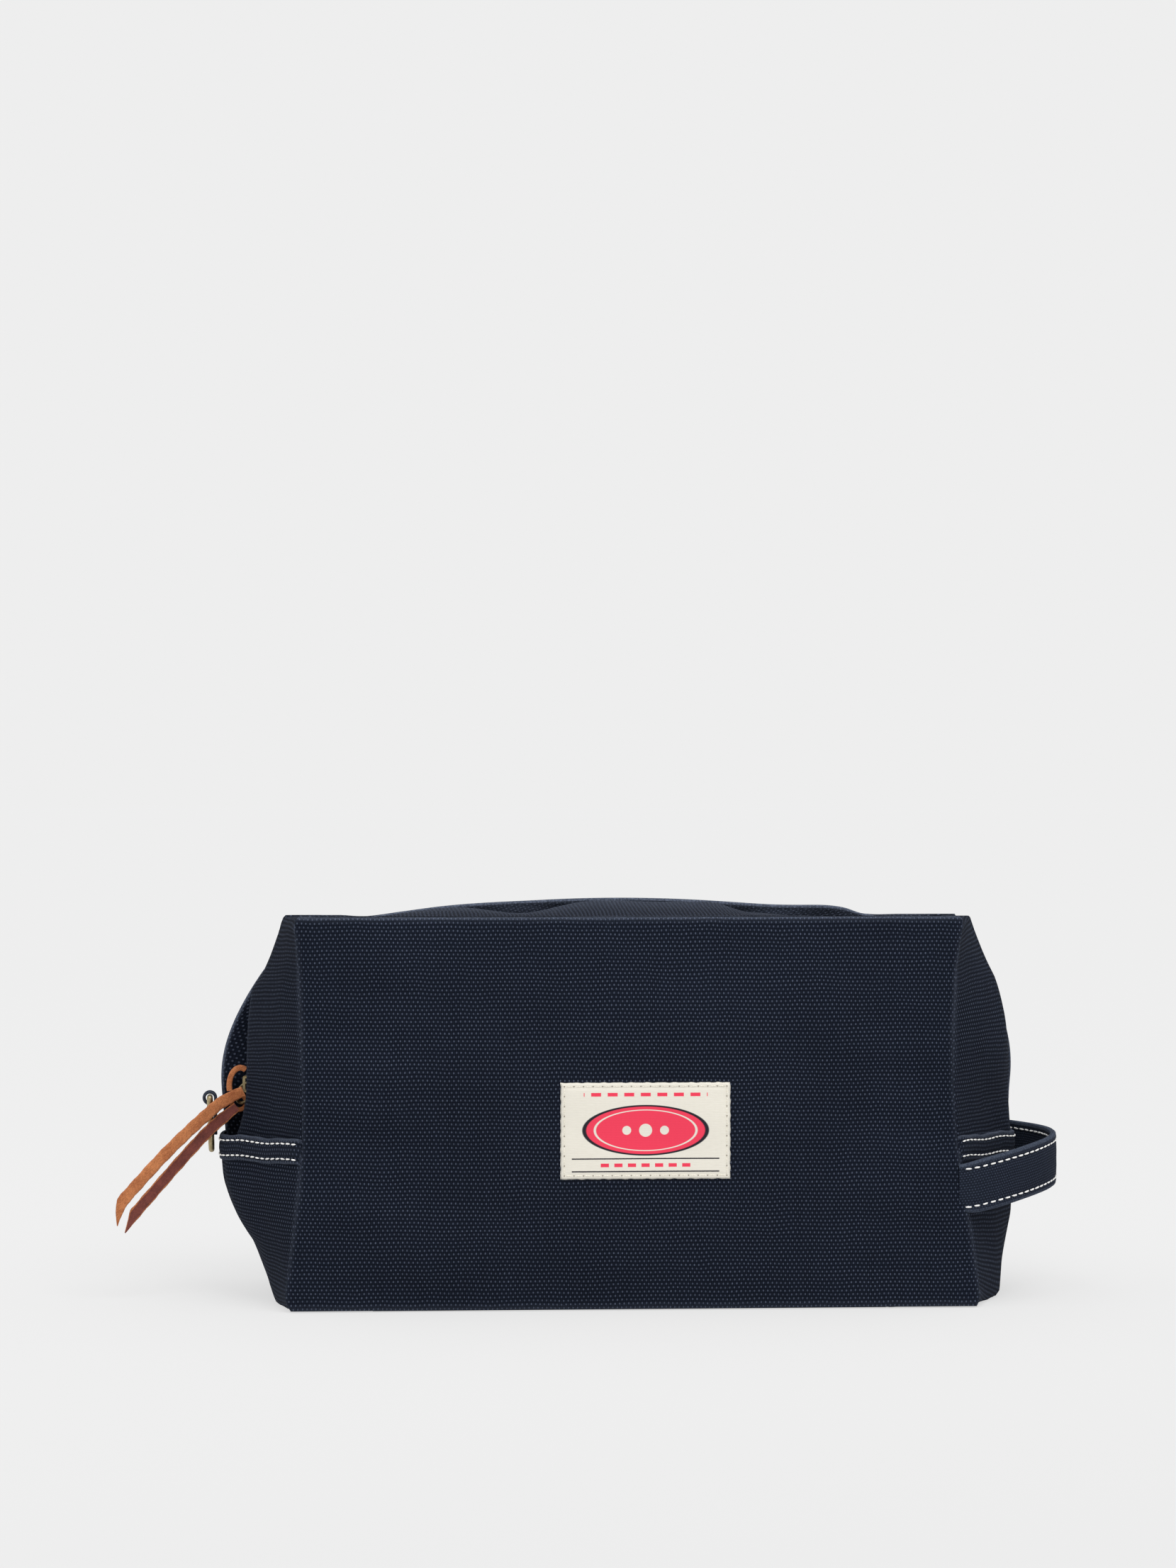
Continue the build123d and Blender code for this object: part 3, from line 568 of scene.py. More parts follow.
def route(points, steps):
    """Points along a smooth line drawn by control points, in mm."""
    curve = bpy.data.curves.new("route", "CURVE")
    curve.dimensions = "3D"
    spline = curve.splines.new("NURBS")
    spline.points.add(len(points) - 1)
    for p, co in zip(spline.points, points):
        p.co = (co[0] * MM, co[1] * MM, co[2] * MM, 1)
    spline.order_u = 3
    spline.use_endpoint_u = True
    spline.resolution_u = steps
    holder = bpy.data.objects.new("route", curve)
    mesh = bpy.data.meshes.new_from_object(holder)
    out = np.array([v.co[:] for v in mesh.vertices]) / MM
    bpy.data.objects.remove(holder)
    return out


def lace(name, points, wide, thick, mats, twist, node, tip):
    """A flat thong swept along a route, rough at its edges and cut to a slanting point."""
    line = route(points, 14)
    along = run_along(line)
    total = along[-1]
    tan = unit(np.gradient(line, axis=0))
    # corners of the cross section: shares of half the width and half the thickness
    ring = [(-1, -0.72), (-1, 0.72), (-0.86, 1), (-0.3, 1), (0.3, 1), (0.86, 1),
            (1, 0.72), (1, -0.72), (0.86, -1), (0.3, -1), (-0.3, -1), (-0.86, -1)]
    verts, uv = [], []
    for i, (p, t) in enumerate(zip(line, tan)):
        share = along[i] / total
        turn = twist[0] + (twist[1] - twist[0]) * share
        face = np.array([math.sin(turn) * 0.6, -math.cos(turn), math.sin(turn) * 0.6])
        face -= t * np.dot(face, t)
        face /= np.linalg.norm(face)
        side = np.cross(t, face)
        left = total - along[i]
        for j, (c, f) in enumerate(ring):
            rough = 1 + 0.07 * math.sin(i * 1.9 + j * 2.3) + 0.05 * math.sin(i * 0.7 + j)
            w = wide / 2 * c * rough * min(0.82 + along[i] / 30, 1.0)
            if left < tip:
                cut = 1 - left / tip
                w = w - (w + wide / 2) * cut * 0.93
            deep = f * thick / 2 * (1 + 0.12 * math.sin(i * 1.3 + j * 1.7))
            wob = 0.16 * math.sin(along[i] * 0.9 + j)
            verts.append(p + side * w + face * (deep + wob * 0.3))
            uv.append((along[i], w))
    faces = tube_faces(len(line), len(ring))
    outer = [1 if j in (2, 3, 4) else 0 for j in range(len(ring))] * (len(line) - 1) + [0, 0]
    obj = new_mesh(name, verts, faces, mats, uv, None, outer)
    soften(obj)
    role(obj, "leather", "lace", node)


lace("lace_tail_a", UPPER, 4.1, 1.8, [SUEDE_MAT, SUEDE_MAT], (0.0, 0.25), "lace_upper_tail", 8.0)
lace("lace_tail_b", LOWER, 4.0, 1.9, [SUEDE_MAT, SMOOTH_MAT], (0.5, 0.9), "lace_lower_tail", 7.0)


def band_arc(name, centre_y, path, wide, thick, mats, body, node):
    """A short flat leather band following (x, z) points, wide along y."""
    tan = unit(np.gradient(path, axis=0))
    nor = np.stack([tan[:, 1], -tan[:, 0]], -1)
    ring = [(-1, -0.7), (-1, 0.7), (-0.8, 1), (0, 1.05), (0.8, 1),
            (1, 0.7), (1, -0.7), (0.8, -1), (0, -0.95), (-0.8, -1)]
    verts = []
    for i, (p, n) in enumerate(zip(path, nor)):
        for j, (c, f) in enumerate(ring):
            wob = 1 + 0.06 * math.sin(i * 1.7 + j * 2.1)
            q = p + n * f * thick / 2 * wob
            verts.append((q[0], centre_y + c * wide / 2 * wob, q[1]))
    faces = tube_faces(len(path), len(ring))
    outer = [1 if j in (2, 3) else 0 for j in range(len(ring))] * (len(path) - 1) + [0, 0]
    obj = new_mesh(name, verts, faces, mats, None, None, outer)
    soften(obj, 2)
    role(obj, "leather", body, node)


turn_lo, turn_hi = box_mm("lace_turn")
turn_x, turn_y, turn_z = (turn_lo + turn_hi) / 2
a = np.linspace(0.2, 2 * math.pi + 0.1, 30)
TURN_R = 2.55
turn_path = np.stack([turn_x + TURN_R * np.cos(a), turn_z + TURN_R * np.sin(a)], -1)
band_arc("lace_turn_piece", turn_y - 0.3, turn_path, 2.6, 1.6,
         [SUEDE_MAT, SMOOTH_MAT], "pull_ring", "lace_turn")

bight_lo, bight_hi = box_mm("lace_bight")
a = np.linspace(math.radians(196), math.radians(62), 24)
bight_w, bight_h = bight_hi[0] - bight_lo[0] - 1.0, bight_hi[2] - bight_lo[2] - 2.4
bight_x, bight_z = bight_hi[0] - 0.4 + bight_w * 0.93 * np.cos(a), bight_lo[2] + 2.2 + bight_h * np.sin(a)
bight_path = np.stack([bight_x, bight_z], -1)
band_arc("lace_bight_piece", (bight_lo[1] + bight_hi[1]) / 2 - 0.6, bight_path, 3.2, 2.0,
         [SUEDE_MAT, SMOOTH_MAT], "pull_ring", "lace_bight")

# ---- front and back panels ----
def corner_cut(z, x_share):
    """How far the seam's corners round off: 0 in the middle of a side."""
    near = np.clip(np.maximum(z - EDGE_Z + CORNER_R, CORNER_R - z) / CORNER_R, 0, 1)
    return 2.2 * (1 - np.sqrt(1 - near**2 * 0.98)) * np.abs(x_share) ** 8


def face_relief(x, z, back):
    """Swell and wrinkles of a face, in mm outward from its flat plane."""
    edge = np.where(x > 0, seam_half(z, True), seam_half(z, False)) - np.abs(x)
    calm = smooth(edge / 16) * smooth((EDGE_Z - z) / 14) * smooth(z / 12)
    swell = 4.2 * smooth(edge / 70 + 0.1) * np.sin(math.pi * np.clip(z / EDGE_Z, 0, 1)) ** 0.9
    near = np.exp(-((edge - 14) / 24) ** 2) * np.exp(-((z - 70) / 42) ** 2)
    wave = ripple(x, z * 1.4, 80, 3 + back) * 1.1 + ripple(x, z * 1.6, 34, 9 + back) * (0.3 + 1.3 * near)
    return swell * smooth(edge / 8), wave * calm


def face_sheet(name, back, inset=0.0, mat=CANVAS_MAT):
    """One upright face: flat in the middle, rolled into its side seams, folded over at top and bottom."""
    sgn = 1.0 if back else -1.0
    n, m = 110, 150
    # across the height: floor edge, up the face, round the top fold to the mouth's hinge line
    zs = np.concatenate([[1.6, 0.7, 0.25], np.linspace(0.3, EDGE_Z - 1.1, n - 12)])
    vs = np.concatenate([[-3.0, -1.8, -0.9], np.linspace(0, EDGE_Z - 1.4, n - 12)])
    outs = np.concatenate([[3.2, 1.5, 0.5], np.zeros(n - 12)])
    a = np.linspace(0, math.pi / 2, 8)[1:]
    zs = np.concatenate([zs, EDGE_Z - 1.1 + 1.1 * np.sin(a), [EDGE_Z, EDGE_Z - 1.2]])
    outs = np.concatenate([outs, 1.1 * (1 - np.cos(a)), [2.6, 5.4]])
    vs = np.concatenate([vs, EDGE_Z - 1.4 + 1.1 * a, [EDGE_Z + 1.9, EDGE_Z + 4.9]])
    t = np.linspace(-1, 1, m)
    t = np.sign(t) * (1 - (1 - np.abs(t)) ** 1.15)
    Z, T = np.meshgrid(zs, t, indexing="ij")
    O, V = outs[:, None] * np.ones((1, m)), vs[:, None] * np.ones((1, m))
    half = np.where(T > 0, seam_half(Z, True), seam_half(Z, False)) - inset
    X = T * (half - corner_cut(Z, T))
    edge = half - np.abs(X)
    roll = 1.25 * np.clip(1 - edge / 2.2, 0, 1) ** 2.2
    swell, wave = face_relief(X, Z, back)
    pull = 0.55 * np.exp(-((Z - BAND_Z) / 9) ** 2) * np.exp(-(edge / 9) ** 2)
    y = DEPTH / 2 - roll - O - pull
    if inset:
        # the lining stays inside the shell, with its fold under the top cloth
        y = y - inset * 1.2
        Z = Z - 2.4 * smooth((Z - EDGE_Z + 9) / 6)
    else:
        y = y + swell + wave
    # lighter along the top fold: painted highlight as well as rubbing; rubbed at the side seams and the floor
    # edge
    wear_and_highlight = 0.4 * np.exp(-((EDGE_Z - 0.2 - Z) / 0.7) ** 2) + 0.12 * np.exp(-(edge / 0.8) ** 2)
    wear_and_highlight = wear_and_highlight + 0.2 * np.exp(-(Z / 1.5) ** 2)
    if back:
        Z = Z - back_drop(y, Z)
    return grid(name, X, sgn * y, Z, X, V, mat, wear_and_highlight, flip=back)


for side, back in (("front", False), ("back", True)):
    role(face_sheet(side + "_panel_cloth", back), "canvas", "bag", side + "_panel")
    inner = face_sheet(f"lining_{side}_cloth", back, inset=3.4, mat=LINING_MAT)
    role(inner, "lining", "bag", f"lining_{side}")


# taut lines from an arc of the end to the corner of the bag, by whether it is the left end
TOP_LINE = {
    True: tangent_line((LIP_R - LIP_TIP, SHOULDER_Z), LIP_R + 1.2, (-TOP_HALF - 1.6, EDGE_Z - 1.0)),
    False: tangent_line((LIP_R - LIP_TIP, SHOULDER_Z), LIP_R + 7.5, (-TOP_HALF - 6.0, EDGE_Z - 0.6)),
}
LOW_LINE = {
    True: tangent_line((LOWER_R - LIP_TIP, LOWER_R), LOWER_R, (-BASE_HALF - 0.3, 1.5)),
    False: tangent_line((LOWER_R - LIP_TIP, LOWER_R), LOWER_R + 3.6, (-BASE_HALF - 12.5, 1.0)),
}


# ---- top strips with the shoulders: one sheet from each band to the middle of the top ----
def lip_shape(share, back, left):
    """How far a lip lies inside the even line, along its own normal."""
    if back:
        return 0.7 * np.exp(-(share / 0.12) ** 2) * (2.2 if left else 1.0)
    most = LEFT_SETBACK if left else RIGHT_SETBACK
    return np.where(share < 0.5, most * np.sin(math.pi * (np.minimum(share, 0.5) + 0.1) / 0.6), 0)


def top_dip(x, back):
    """Sag of a lip over the top: the front one dips on both sides of the middle."""
    if back:
        return 0.9 * smooth((78 - np.abs(x - 12)) / 40) - 2.6 * np.exp(-((x - 84) / 22) ** 2)
    dip = 4.6 * np.exp(-((x + 34) / 17) ** 2) + 1.9 * np.exp(-((x - 11) / 26) ** 2)
    return dip + 3.4 * smooth((x - 30) / 16) * smooth((96 - x) / 30)


def strip(left, back, inset=0.0, mat=CANVAS_MAT):
    """Top strip on one side of the zip, from an end band to the middle of the top."""
    fx, fy, side, face = quarter(left, back)
    zip_total = zip_length(LIP_TIP, LIP_R)
    straight, arc = EDGE_Z - BAND_Z - CORNER_R, CORNER_R * math.pi / 2
    edge_total = straight + arc + float(seam_half(EDGE_Z, not left)) - CORNER_R
    n, m = 132, 40
    f = np.linspace(0, 1, n)
    # pair equal lengths along lip and edge near the band, and equal x over the top
    ex, ey, ez = corner_path(f * edge_total, EDGE_Z, HINGE_Y + 1.3, not left)
    lx, lz, nx, nz = zip_line(f * zip_total, LIP_TIP, LIP_R)
    share = f * zip_total / 112.0
    set_in = lip_shape(share, back, left)
    over = smooth((lx + 100) / 30)
    dip = top_dip(lx * fx, back) * over
    nor = np.stack([nx, nx * 0, nz], -1)
    lip = np.stack([lx - nx * (set_in + dip), np.full(n, -LIP_Y - 0.6), lz - nz * (set_in + dip)], -1)
    line_lip = np.stack([lx, 0 * lx, lz], -1)
    taut = stretch(line_lip, nor, TOP_LINE[left], EDGE_Z - 1.6, 15.0)
    taut = taut * smooth((f - 0.08) / 0.22) * smooth((0.62 - f) / 0.14)
    edge = np.stack([ex, ey, ez], -1)
    cx, cz, cnx, cnz = zip_line(f * zip_length(CHAIN_TIP, CHAIN_R), CHAIN_TIP, CHAIN_R)
    wall_foot = np.stack([cx + cnx * 0.6, np.full(n, -LIP_Y - 0.3), cz + cnz * 0.6 - chain_sag(cx)], -1)
    fold = m - 12
    rows, us = [], []
    width = np.linalg.norm(lip - edge, axis=1)
    for tt in np.linspace(0, 1, fold):
        p = edge + (lip - edge) * tt
        arch = math.sin(math.pi * tt)
        pull = min(tt / 0.75, 1.0) - 0.55 * smooth((tt - 0.8) / 0.2)
        p = p + nor * (taut * pull)[:, None]
        puff = 0.8 * arch * smooth(f / 0.12) * smooth((0.42 - f) / 0.2)
        seam_in = 0.9 * max(0.0, 1 - tt / 0.035) ** 1.5 * smooth((1 - f * edge_total / (straight + arc)) * 12)
        w = ripple(f * 190 + 0 * tt, tt * width, 34, 21 + 2 * left + back) * 0.55 * arch
        w = w + ripple(f * 190, tt * width, 13, 31 + 2 * left + back) * 0.14 * arch
        w = w * smooth((1 - f) / 0.12)
        p = p + nor * (puff + w - seam_in - inset)[:, None]
        p[:, 2] += 0.18 * max(0.0, 1 - tt / 0.06) * smooth((f - 0.43) / 0.02)
        rows.append(p)
        us.append(tt * width)
    # the lip's fold, then the wall down to the tape
    lip = lip + nor * (taut * 0.45)[:, None]
    if not inset:
        for a in np.linspace(0.3, math.pi / 2 + 0.5, 6):
            r = 1.1
            p = lip + np.array([0, r * math.sin(a) * 0.95, 0]) + nor * (r * (math.cos(a) - 1))
            rows.append(p)
            us.append(width + r * a)
        top = rows[-1]
        for k in range(1, 7):
            g = k / 6
            p = top + (wall_foot - top) * g
            wavy = np.sin(f * 37 + 2 * left + back) * smooth((1 - f) / 0.1)
            p = p + np.array([0, 0.7 * math.sin(math.pi * g), 0]) * wavy[:, None]
            rows.append(p)
            us.append(width + 2.4 + g * 8)
    P, U = np.stack(rows, 1), np.stack(us, 1)
    S = (f * edge_total)[:, None] * np.ones((1, P.shape[1]))
    tcol = np.arange(P.shape[1])[None, :] * np.ones((n, 1))
    # lighter at the lip's fold and over the top: painted highlight as well as rubbing; rubbed along the seam
    wear_and_highlight = 0.75 * np.exp(-((tcol - fold - 1.2) / 1.8) ** 2) * (1 if not inset else 0)
    wear_and_highlight = wear_and_highlight + 0.5 * np.exp(-(tcol / 0.9) ** 2) * smooth(f * 3)[:, None]
    wear_and_highlight = wear_and_highlight + 0.22 * smooth((S - straight - 4) / 8) * np.exp(-((tcol - fold) / 14) ** 2)
    proud = np.maximum(P[..., 2] - (EDGE_Z - 0.9), 0) * smooth((np.abs(P[..., 0]) - 80) / 12)
    P[..., 2] -= proud * smooth((np.arange(P.shape[1]) - 1) / 4)[None, :]
    if back:
        P[..., 2] -= back_drop(P[..., 1], P[..., 2])
    name = f"{'lining_' if inset else ''}strip_{side}_{face}"
    return grid(name, P[..., 0] * fx, P[..., 1] * fy, P[..., 2], U, S, mat, wear_and_highlight, flip=left != back)


for left in (True, False):
    for back in (False, True):
        _, _, side, face = quarter(left, back)
        piece = strip(left, back)
        bend_role(piece, "canvas", left, face, f"shoulder_{side}_{face}", "mouth_flap_" + face)
        piece = strip(left, back, 1.9, LINING_MAT)
        bend_role(piece, "lining", left, face, f"lining_shoulder_{side}_{face}", "lining_flap_" + face)


# ---- base cloth with both lower ends, and its lining ----
BASE_ROLE = (("canvas", "bag", "bottom_panel"), ("lining", "bag", "lining_base"))


def lower_end(left, back, inset, mat):
    """Half of a lower end: one sheet from a corner seam to the middle, round under the bag."""
    fx, fy, side, face = quarter(left, back)
    n, m = 90, 40
    drop, turn = BAND_Z - LOWER_R, LOWER_R * math.pi / 2
    flat_x = LOWER_R - LIP_TIP
    edge_total = BAND_Z - CORNER_R + CORNER_R * math.pi / 2 + BASE_HALF - CORNER_R + flat_x
    f = np.linspace(0, 1, n)
    s = f * (drop + turn)
    ang = math.pi + np.maximum(s - drop, 0) / LOWER_R
    nor = np.stack([np.cos(ang), 0 * ang, np.sin(ang)], -1)
    mid_z = LOWER_R + LOWER_R * np.sin(ang) + np.maximum(drop - s, 0)
    mid = np.stack([flat_x + LOWER_R * np.cos(ang), np.zeros(n), mid_z], -1)
    ex, ey, ez = corner_path(f * edge_total, 0.0, SEAM_Y, not left)
    ex = np.minimum(ex, flat_x)
    edge = np.stack([ex, ey, ez], -1)
    rows, us = [], []
    width = np.linalg.norm(mid - edge, axis=1)
    taut = stretch(mid, nor, LOW_LINE[left], 0.3, 13.5) * smooth((f - 0.1) / 0.2)
    for tt in np.linspace(0, 1, m):
        bulge = 1 - np.clip((tt * 46.1 - 40.6) / 5.5, 0, 1) ** 2 * 0.12
        lin = min(tt / 0.88, 1.0)
        lin = lin - 0.06 * math.exp(-((tt - 0.9) / 0.07) ** 2)
        p = edge + (mid - edge) * np.array([0, 1, 0]) * tt + (mid - edge) * np.array([1, 0, 1]) * lin
        arch = math.sin(math.pi * tt * 0.92)
        puff = 1.2 * arch * smooth(f / 0.15) * smooth((1 - f) / 0.3)
        seam_in = 0.9 * max(0.0, 1 - tt / 0.035) ** 1.5 * smooth((1 - f) * 8)
        w = ripple(f * 110, tt * width, 24, 51 + 2 * left + back) * 0.5 * arch * smooth((0.8 - f) / 0.4)
        p = p + nor * (puff + w + taut * min(tt / 0.6, 1.0) - seam_in - inset)[:, None] * bulge
        p[:, 2] = np.maximum(p[:, 2], 0.05 + inset)
        rows.append(p)
        us.append(tt * width)
    P, U = np.stack(rows, 1), np.stack(us, 1)
    S = (f * edge_total)[:, None] * np.ones((1, m))
    col, low = np.arange(m)[None, :], smooth((f[:, None] - 0.5) * 4) * smooth((0.95 - f[:, None]) * 6)
    wear_and_highlight = 0.4 * np.exp(-(col / 0.9) ** 2) + 0.25 * low * np.exp(-(col / 8) ** 2)
    name = f"{'lining_' if inset else ''}lower_{side}_{face}"
    obj = grid(name, P[..., 0] * fx, P[..., 1] * fy, P[..., 2], U, S, mat, wear_and_highlight, flip=left == back)
    role(obj, *BASE_ROLE[inset > 0])


for inset, mat in ((0.0, CANVAS_MAT), (2.0, LINING_MAT)):
    for left in (True, False):
        for back in (False, True):
            lower_end(left, back, inset, mat)
    xs, ys = np.meshgrid(np.linspace(-87.2, 87.2, 60), np.linspace(-SEAM_Y, SEAM_Y, 40), indexing="ij")
    zs = 0.05 + inset + 0 * xs + (ripple(xs, ys, 60, 77) * 0.5 + 0.5 if inset else 0)
    base = grid("lining_floor" if inset else "base_floor", xs, ys, zs, ys, xs, mat, 0.1, flip=not inset)
    role(base, *BASE_ROLE[inset > 0])


# ---- end bands and their stitching ----
def band_path(left, z_front, z_mid, z_back, out, count=90):
    """Plan line round an end at the band, with heights sloping between the seams and the tip."""
    seam = float(seam_half(BAND_Z, not left))
    pts = [(-seam - 0.1, -SEAM_Y + 0.5), (-seam - 0.8, -SEAM_Y + 1.1), (-113.6, -48.9), (-136.9, -9.5),
           (-138.2, -6.2), (-138.8, -3.0), (-LIP_TIP, 0)]
    pts = np.array(pts + [(x, -y) for x, y in pts[-2::-1]], float)
    seg = run_along(pts)
    s = np.linspace(0, seg[-1], count)
    x, y = np.interp(s, seg, pts[:, 0]), np.interp(s, seg, pts[:, 1])
    k = np.ones(7) / 7
    xp = np.convolve(np.pad(x, 3, mode="edge"), k, mode="valid")
    tx, ty = np.gradient(xp), np.gradient(y)
    ln = np.hypot(tx, ty)
    nx, ny = -ty / ln, tx / ln
    share = np.abs(y) / SEAM_Y
    z = z_mid + (np.where(y < 0, z_front, z_back) - z_mid) * share
    z = z + 0.25 * np.sin(s * 0.21)
    return xp + nx * out, y + ny * out, z, s, nx, ny


BAND_LINE = (53.6, 52.0, 53.6)
for left in (True, False):
    fx, _, side, _ = quarter(left, False)
    px, py, pz, ps, nx, ny = band_path(left, *BAND_LINE, 0.0)
    # the cross section, as height and distance out, dips where it is stitched
    cs = [(-4.4, -0.9), (-4.35, 0.2), (-4.1, 0.62), (-3.4, 0.8), (-2.6, 0.42), (-1.6, 0.8), (0, 0.95)]
    cs += [(-h, o) for h, o in cs[-2::-1]]
    full = smooth(ps / 4) * smooth((ps[-1] - ps) / 4)
    X = np.stack([px + nx * (o * full - 0.9 * (1 - full)) for _, o in cs], 1)
    Y = np.stack([py + ny * (o * full - 0.9 * (1 - full)) for _, o in cs], 1)
    Z = np.stack([pz + h + 0.12 * np.sin(ps * 0.5) for h, _ in cs], 1)
    U = ps[:, None] * np.ones((1, len(cs)))
    V = np.array([h for h, _ in cs])[None, :] * np.ones((len(ps), 1))
    wear_and_highlight = np.array([0.1, 0.5, 0.5, 0.15, 0, 0.05, 0.05, 0.05, 0, 0.15, 0.5, 0.5, 0.1])[None, :]
    band = grid(f"band_{side}", X * fx, Y, Z, U, V, CANVAS_MAT, wear_and_highlight, flip=left)
    soften(band)
    role(band, "webbing", "bag", f"end_band_{side}")

    def outward(c, fx=fx):
        return np.stack([c[:, 0] * 0 - fx, np.sign(c[:, 1]) * 0.62 * (np.abs(c[:, 1]) > 6), c[:, 0] * 0], -1)

    rows = []
    for h in (-2.6, 2.6):
        sx, sy, sz = band_path(left, *BAND_LINE, 0.62)[:3]
        path = np.stack([sx * fx, sy, sz + h], -1)[1:-1]
        rows.append(dict(path=path, pitch=3.35, length=2.45, width=0.58, seed=5 + int(h), up=outward))
    stitches(f"band_stitches_{side}", rows)

# a row just above the floor line of the front and of the back
rows = []
for sgn_y in (-1, 1):
    xs = np.linspace(-BASE_HALF + 8, BASE_HALF - 8, 120)
    path = np.stack([xs, 0 * xs + sgn_y * (DEPTH / 2 - 0.25), 0 * xs + 1.5], -1)
    rows.append(dict(path=path, pitch=2.75, length=1.9, width=0.42, seed=2, up=[0, sgn_y, 0], lift=0.0))
stitches("base_stitches", rows, GREY_THREAD_MAT)

# ---- label ----
lab_lo, lab_hi = box_mm("woven_label")
lab_c, lab_w, lab_h = (lab_lo + lab_hi) / 2, lab_hi[0] - lab_lo[0], lab_hi[2] - lab_lo[2]
label_sh = Shader("label_weave", rough=0.85, spec=0.2, sheen=0.1)
lu, lv, _ = label_sh.coords(cloth=True)
cream = label_sh.mix(label_sh.noise(lu * 0.4, lv * 3.0, detail=2.0), srgb(218, 213, 200), srgb(230, 226, 215))
ink, red = srgb(34, 33, 42), srgb(233, 62, 88)
soft = label_sh.noise(lu * 2.2, lv * 2.2, detail=2.0) * 0.35


def label_band(value, centre, half, edge=0.12):
    """1 within half of centre, 0 outside, with a woven-soft edge."""
    return ((value - centre).abs() * -1.0 + (half + soft * 0.3 - 0.05)).ramp(-edge, edge)


oval = ((lu / 21.5).pow(2.0) + ((lv - 0.2) / 8.6).pow(2.0)).pow(0.5)
tone = label_sh.mix((oval * -1.0 + 1.0).ramp(-0.012, 0.012), cream, ink)
tone = label_sh.mix((oval * -1.0 + 0.935).ramp(-0.012, 0.012), tone, red)
ring = ((oval - 0.8).abs() * -1.0 + 0.018).ramp(-0.01, 0.01)
tone = label_sh.mix(ring, tone, cream)
for cx in (-6.4, 0.0, 6.4):
    dot = ((lu - cx).pow(2.0) + (lv - 0.2).pow(2.0)).pow(0.5)
    tone = label_sh.mix((dot * -1.0 + (2.2 if cx == 0 else 1.5)).ramp(-0.12, 0.12), tone, cream)
inside = (lu.abs() * -1.0 + 25.0).ramp(-0.1, 0.1)
for v_at in (-9.4, -13.7):
    tone = label_sh.mix(label_band(lv, v_at, 0.22, 0.1) * inside, tone, ink)
for v_at, reach, pitch in ((12.3, 21.0, 5.6), (-11.6, 16.5, 4.6)):
    dash = (lu * (2 * math.pi / pitch)).cos().ramp(-0.45, -0.2)
    row = label_band(lv, v_at, 0.62, 0.12) * (lu.abs() * -1.0 + reach).ramp(-0.1, 0.1) * dash
    tone = label_sh.mix(row, tone, red)
label_sh.feed("Base Color", tone)
lweave = (lu * (math.pi / 0.28)).cos() * (lv * (math.pi / 0.34)).cos()
label_sh.bump(lweave.abs().pow(0.6) + soft, strength=0.35, distance=0.00012)

tu, tv = np.meshgrid(np.linspace(-1, 1, 90), np.linspace(-1, 1, 60))
wob_x = 0.07 * np.sin(tv * 23 + 0.7) + 0.06 * np.sin(tv * 41 + 2)
wob_z = 0.07 * np.sin(tu * 37 + 1.1) + 0.06 * np.sin(tu * 61)
LX = tu * lab_w / 2 * 0.992 + wob_x * np.abs(tu) ** 20
LZ = tv * lab_h / 2 * 0.99 + wob_z * np.abs(tv) ** 20
edge = np.minimum((1 - np.abs(tu)) * lab_w / 2, (1 - np.abs(tv)) * lab_h / 2)
dimple = 0.22 * np.exp(-((edge - 1.5) / 0.5) ** 2)
lift = 0.75 * np.clip(edge / 0.5, 0, 1) ** 0.5
under = sum(face_relief(LX + lab_c[0], LZ + lab_c[2], False))
LY = -DEPTH / 2 - under - 0.15 - lift * 0.9 + dimple + 0.1 * ripple(LX, LZ, 14, 4)
label = grid("maker_label", LX + lab_c[0], LY, LZ + lab_c[2], LX, LZ, label_sh.mat, flip=True)
thicken(label, 0.0011, -1.0)
role(label, "label", "bag", "woven_label")

thread_cream = Shader("cream_thread", rough=0.8, spec=0.2)
hx, _, hz = thread_cream.coords()
cream_ply = ((hx + hz) * 7.0).cos() * 0.5 + 0.5
thread_cream.feed("Base Color", thread_cream.mix(cream_ply, srgb(226, 220, 202), srgb(247, 243, 232)))
holes = Shader("needle_hole", rough=1.0, spec=0.0)
qx, qy, qz = holes.coords()
holes.feed("Base Color", holes.mix(holes.noise(qx, qy, qz), srgb(120, 112, 100), srgb(170, 162, 148)))
rows, hole_v, hole_f = [], [], []
ix, iz = lab_w / 2 - 1.5, lab_h / 2 - 1.4
loop = [(-ix, -iz), (ix, -iz), (ix, iz), (-ix, iz), (-ix, -iz)]
for (x0, z0), (x1, z1) in zip(loop, loop[1:]):
    g = np.linspace(0, 1, 12)
    sx, sz = x0 + (x1 - x0) * g + lab_c[0], z0 + (z1 - z0) * g + lab_c[2]
    path = np.stack([sx, -DEPTH / 2 - sum(face_relief(sx, sz, False)) - 0.78, sz], -1)
    rows.append(dict(path=path, pitch=3.3, length=2.5, width=0.2, seed=3, up=[0, -1, 0], lift=0.0))
    ends, tang = resample(path, 3.3)
    for c, t in zip(ends, tang):
        base = len(hole_v)
        c = c + t * 1.65 + np.array([0, -0.1, 0])
        for k in range(8):
            a = k * math.pi / 4
            hole_v.append(c + np.array([0.24 * math.cos(a), 0, 0.24 * math.sin(a)]))
        hole_f.append(tuple(base + k for k in range(8)))
stitches("label_stitches", rows, thread_cream.mat)
hole_obj = new_mesh("label_needle_holes", hole_v, hole_f, [holes.mat])
role(hole_obj, "label", "bag")

